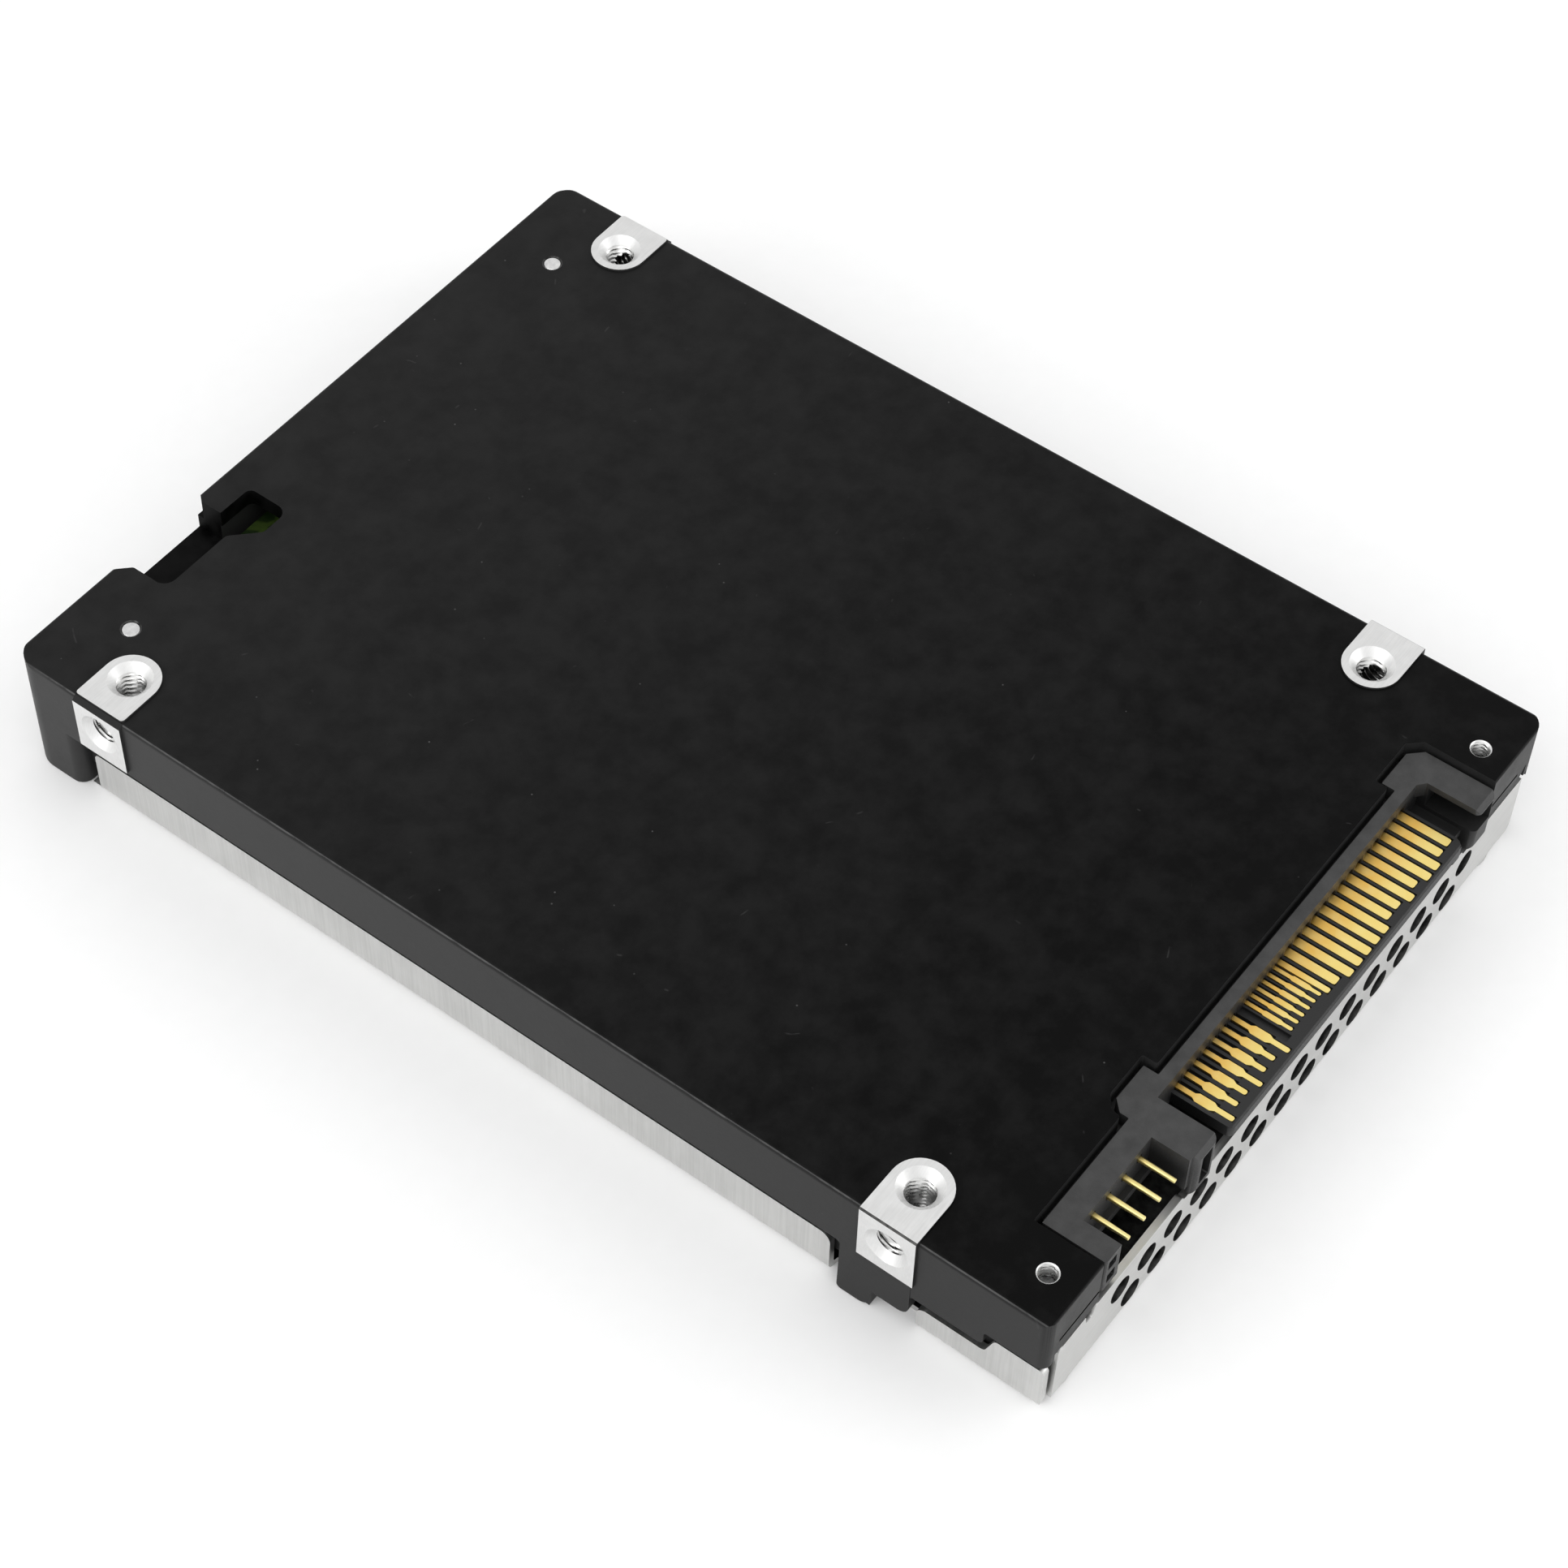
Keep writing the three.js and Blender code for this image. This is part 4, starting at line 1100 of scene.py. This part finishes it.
def header_shell():
    """The open-fronted pocket around the service pins."""
    top = PLUG_HIGH.z
    right = LEFT_ARM[0] + 0.2
    left = HEADER_LEFT
    plan = [(left, HEADER_FRONT, 0.25), (right, HEADER_FRONT), (right, HEADER_END), (left, HEADER_END)]
    shell = prism(plan, HEADER_BOTTOM, top)
    x0, x1 = HEADER_POCKET
    pocket = prism(rectangle(x0, x1, HEADER_FRONT - 1, HEADER_BACK), HEADER_FLOOR, top + 1)
    mouth = prism(rectangle(x0, x1, HEADER_FRONT - 1, HEADER_BACK - 0.5), 7.0, 9.2)
    holes = [
        prism(rectangle(x0 - 1.5, x0 - 0.5, z, z + 1.05, 0.1), HEADER_FRONT - 1, HEADER_FRONT + 1.4, "Y")
        for z in (8.7, 10.45)
    ]
    return cut(shell, pocket, mouth, *holes)


def tail_shelf():
    """The part of the housing that reaches under the casting's plate to the board."""
    return block(HEADER_LEFT + 1, RIGHT_ARM[1] - 1, -44.2, -41.2, BOARD_TOP + 0.05, PLATE_UNDER - 0.3)


def contact_grooves():
    """The shallow bed of each contact, and the arch in the wall that it comes out of."""
    deep = BLADE_TOP - GROOVE
    back = ROOT + 0.02
    cutters = []
    for name in SIGNALS + SIDEBANDS + POWERS:
        low, high = box(name)
        x = (low.x + high.x) / 2
        half = (high.x - low.x) / 2
        if name in SIGNALS:
            opening = 0.3
            beds = [(0.5, -46.45, back, deep - 0.1), (0.48, -48.25, -46.4, deep)]
            beds.append((0.3, low.y - 0.08, -48.2, deep))
        elif name in SIDEBANDS:
            opening = 0.24
            beds = [(0.32, -48.0, back, deep), (0.22, low.y - 0.06, -47.9, deep)]
        else:
            opening = half
            beds = [(half + 0.06, low.y - 0.08, back, deep)]
        for reach, y0, y1, bottom in beds:
            cutters.append(block(x - reach, x + reach, y0, y1, bottom, BLADE_TOP + 1))
        cutters.append(arch(x, opening, deep, ROOT - 0.1, ROOT + 0.5))
    return cutters


def pin_holes():
    half = 0.31
    front = HEADER_BACK - 1
    back = HEADER_BACK + 1.25
    spots = [middle(name) for name in PINS]
    return [block(p.x - half, p.x + half, front, back, p.z - half, p.z + half) for p in spots]


def build_housing():
    body = back_wall()
    x0, x1 = 22.9, 23.7
    plan = [(x0, ROOT + 0.1), (x1, ROOT + 0.1), (x1, ROOT - 0.65), (x0, ROOT)]
    corner = prism(plan, 10.5, PLUG_HIGH.z)
    join(body, *blade(), guide_arm(LEFT_ARM), guide_arm(RIGHT_ARM), tail_shelf(), corner)
    cut(body, block(*ARM_RECESS_X, PLUG_LOW.y - 1, ROOT - 0.75, *ARM_RECESS_Z))
    cut(body, block(HEADER_LEFT - 1, HEADER_POCKET[1], PLUG_LOW.y - 1, ROOT + 0.3, 6, 14))
    join(body, header_shell())
    soften(body, 0.1)
    divider = block(-2.55, -1.8, PLUG_LOW.y + 1.0, ROOT + 0.02, BLADE_TOP - 0.3, BLADE_TOP + 1)
    cut(body, divider, *contact_grooves(), *pin_holes())
    return finish(body, "plug_housing", (PLASTIC,), ("connector_housing",))


# ------------ contacts and pins


def strip(x, stations):
    """A contact cut from thin sheet: stations are (y, half width) from the root to the tip."""
    right = [(x + half, y) for y, half in stations]
    left = [(x - half, y) for y, half in reversed(stations)]
    piece = prism(right + left, BLADE_TOP - GROOVE, BLADE_TOP - 0.03)
    return soften(piece, 0.035, 2, 50)


def build_contacts():
    root = ROOT + 0.45
    for name in SIGNALS + SIDEBANDS + POWERS:
        low, high = box(name)
        tip = low.y
        if name in SIGNALS:
            stations = [
                (root, 0.23), (-46.2, 0.23), (-46.5, 0.43), (-47.8, 0.43), (-48.15, 0.24),
                (tip + 0.16, 0.24), (tip + 0.04, 0.18), (tip, 0.08),
            ]
        elif name in SIDEBANDS:
            stations = [
                (root, 0.18), (-46.2, 0.18), (-46.4, 0.26), (-47.7, 0.26), (-47.95, 0.17),
                (tip + 0.12, 0.17), (tip, 0.08),
            ]
        else:
            half = (high.x - low.x) / 2 - 0.05
            stations = [(root, half), (tip + 0.18, half), (tip + 0.05, half - 0.06), (tip, half - 0.17)]
        finish(strip(middle(name).x, stations), f"plug_{name}", (GOLD,), (name,))


def build_pins():
    """Round-edged wires that narrow at their tips."""
    narrowing = 0.3
    for name in PINS:
        low, high = box(name)
        spot = middle(name)
        wire = prism(rectangle(low.x, high.x, low.z, high.z, 0.18), low.y + 0.02, high.y - 0.05, "Y", 3)
        for vertex in wire.data.vertices:
            if vertex.co.y < low.y + 0.1:
                vertex.co.x += (spot.x - vertex.co.x) * narrowing
                vertex.co.z += (spot.z - vertex.co.z) * narrowing
        finish(soften(wire, 0.05, 2, 50), f"header_{name}", (PIN_GOLD,), (name,))


# ------------ screws


def build_screws(names):
    """Machine screws that point up: a domed head with a six-sided socket and a threaded shank."""
    for name in names:
        low, high = box(name)
        spot = middle(name)
        head = (high.x - low.x) / 2
        shank = 0.8
        pitch = 0.4
        base = low.z
        rows = [(0, head - 0.25), (0.12, head - 0.06), (0.3, head), (0.65, head), (0.66, shank)]
        start = 0.8
        step = pitch / 6
        count = int((high.z - base - start - 0.15) / step)
        rows += [(start + step * i, shank) for i in range(count)]
        rows += [(high.z - base - 0.1, shank), (high.z - base, shank - 0.1)]
        thread = (start, high.z - base - 0.12, 0.15, pitch)
        body = turned(rows, (spot.x, spot.y, base), "Z", 24, thread)
        socket = turned([(-0.5, 0.62), (0.35, 0.6)], (spot.x, spot.y, base), "Z", 6)
        cut(body, socket)
        finish(body, f"steel_{name}", (PLATED,), (name,))


# ------------ pieces inside the drive


def dress_inner_nodes():
    """Gives every CAD node that is still shown its material."""
    looks = {"board": board_look(), "chip": chip_look(), "capacitor": capacitor_look(), "thermal": pad_look()}
    slots = {entry["node"]: entry["material_slot"] for entry in frame["record"]["subparts"]}
    for name, piece in frame["nodes"].items():
        if not piece.hide_render and slots[name] in looks:
            piece.data.materials.clear()
            piece.data.materials.append(looks[slots[name]])


# ------------ studio


def build_floor():
    half = 2.0
    bm = bmesh.new()
    bm.faces.new([bm.verts.new((x, y, 0)) for x, y in rectangle(-half, half, -half, half)])
    floor = new_piece(bm, "floor")
    floor.data.materials.append(floor_look())


def build_light(name, place, size, power):
    """A rectangular lamp aimed at the middle of the drive's underside."""
    lamp = bpy.data.lights.new(name, "AREA")
    lamp.shape = "RECTANGLE"
    lamp.size, lamp.size_y = size
    lamp.energy = power
    stand = bpy.data.objects.new(name, lamp)
    bpy.context.scene.collection.objects.link(stand)
    stand.location = place
    stand.rotation_euler = (-Vector(place)).to_track_quat("-Z", "Y").to_euler()


def build_world(strength, dip, dip_place, dip_width):
    """A white dome with a softly darker patch, which the coated top mirrors towards the camera."""
    world = bpy.data.worlds.new("studio")
    bpy.context.scene.world = world
    world.use_nodes = True
    nodes = world.node_tree.nodes
    links = world.node_tree.links
    place = nodes.new("ShaderNodeTexCoord")
    facing = nodes.new("ShaderNodeVectorMath")
    facing.operation = "DOT_PRODUCT"
    facing.inputs[1].default_value = Vector(dip_place).normalized()
    ramp = nodes.new("ShaderNodeMapRange")
    ramp.interpolation_type = "SMOOTHSTEP"
    ramp.inputs["From Min"].default_value = math.cos(math.radians(dip_width))
    ramp.inputs["To Min"].default_value = strength
    ramp.inputs["To Max"].default_value = dip
    links.new(place.outputs["Generated"], facing.inputs[0])
    links.new(facing.outputs["Value"], ramp.inputs["Value"])
    links.new(ramp.outputs["Result"], nodes["Background"].inputs["Strength"])
    nodes["Background"].inputs["Color"].default_value = (1, 1, 1, 1)


def build_camera():
    """The view from the -X side and above, over the connector end."""
    place = Vector((-150.547, -108.137, 235.938)) * MM
    forward = Vector((0.50312, 0.35920, -0.78603)).normalized()
    down = Vector((-0.62058, -0.48283, -0.61787)).normalized()
    right = down.cross(forward).normalized()
    up = right.cross(forward)
    camera = bpy.data.objects.new("camera", bpy.data.cameras.new("camera"))
    bpy.context.scene.collection.objects.link(camera)
    turn = Matrix((right, up, -forward)).transposed()
    camera.matrix_world = Matrix.Translation(place) @ turn.to_4x4()
    camera.data.angle = math.radians(24.08)
    camera.data.clip_start = 0.01
    bpy.context.scene.camera = camera


bpy.context.scene.view_settings.view_transform = "Standard"
build_camera()
build_floor()
build_world(1.02, 0.85, (0.48, 0.3, 0.85), 50)
build_light("key", (-0.35, -0.1, 0.55), (0.35, 0.35), 0.5)
build_light("front_strip", (0.27, -0.43, 0.2), (0.3, 0.1), 0.4)
build_light("back_strip", (-0.43, 0.2, 0.28), (0.3, 0.1), 0.4)
build_casting()
build_cover()
build_housing()
build_contacts()
build_pins()
build_screws(COVER_SCREWS)
build_screws(BOARD_SCREWS)
dress_inner_nodes()
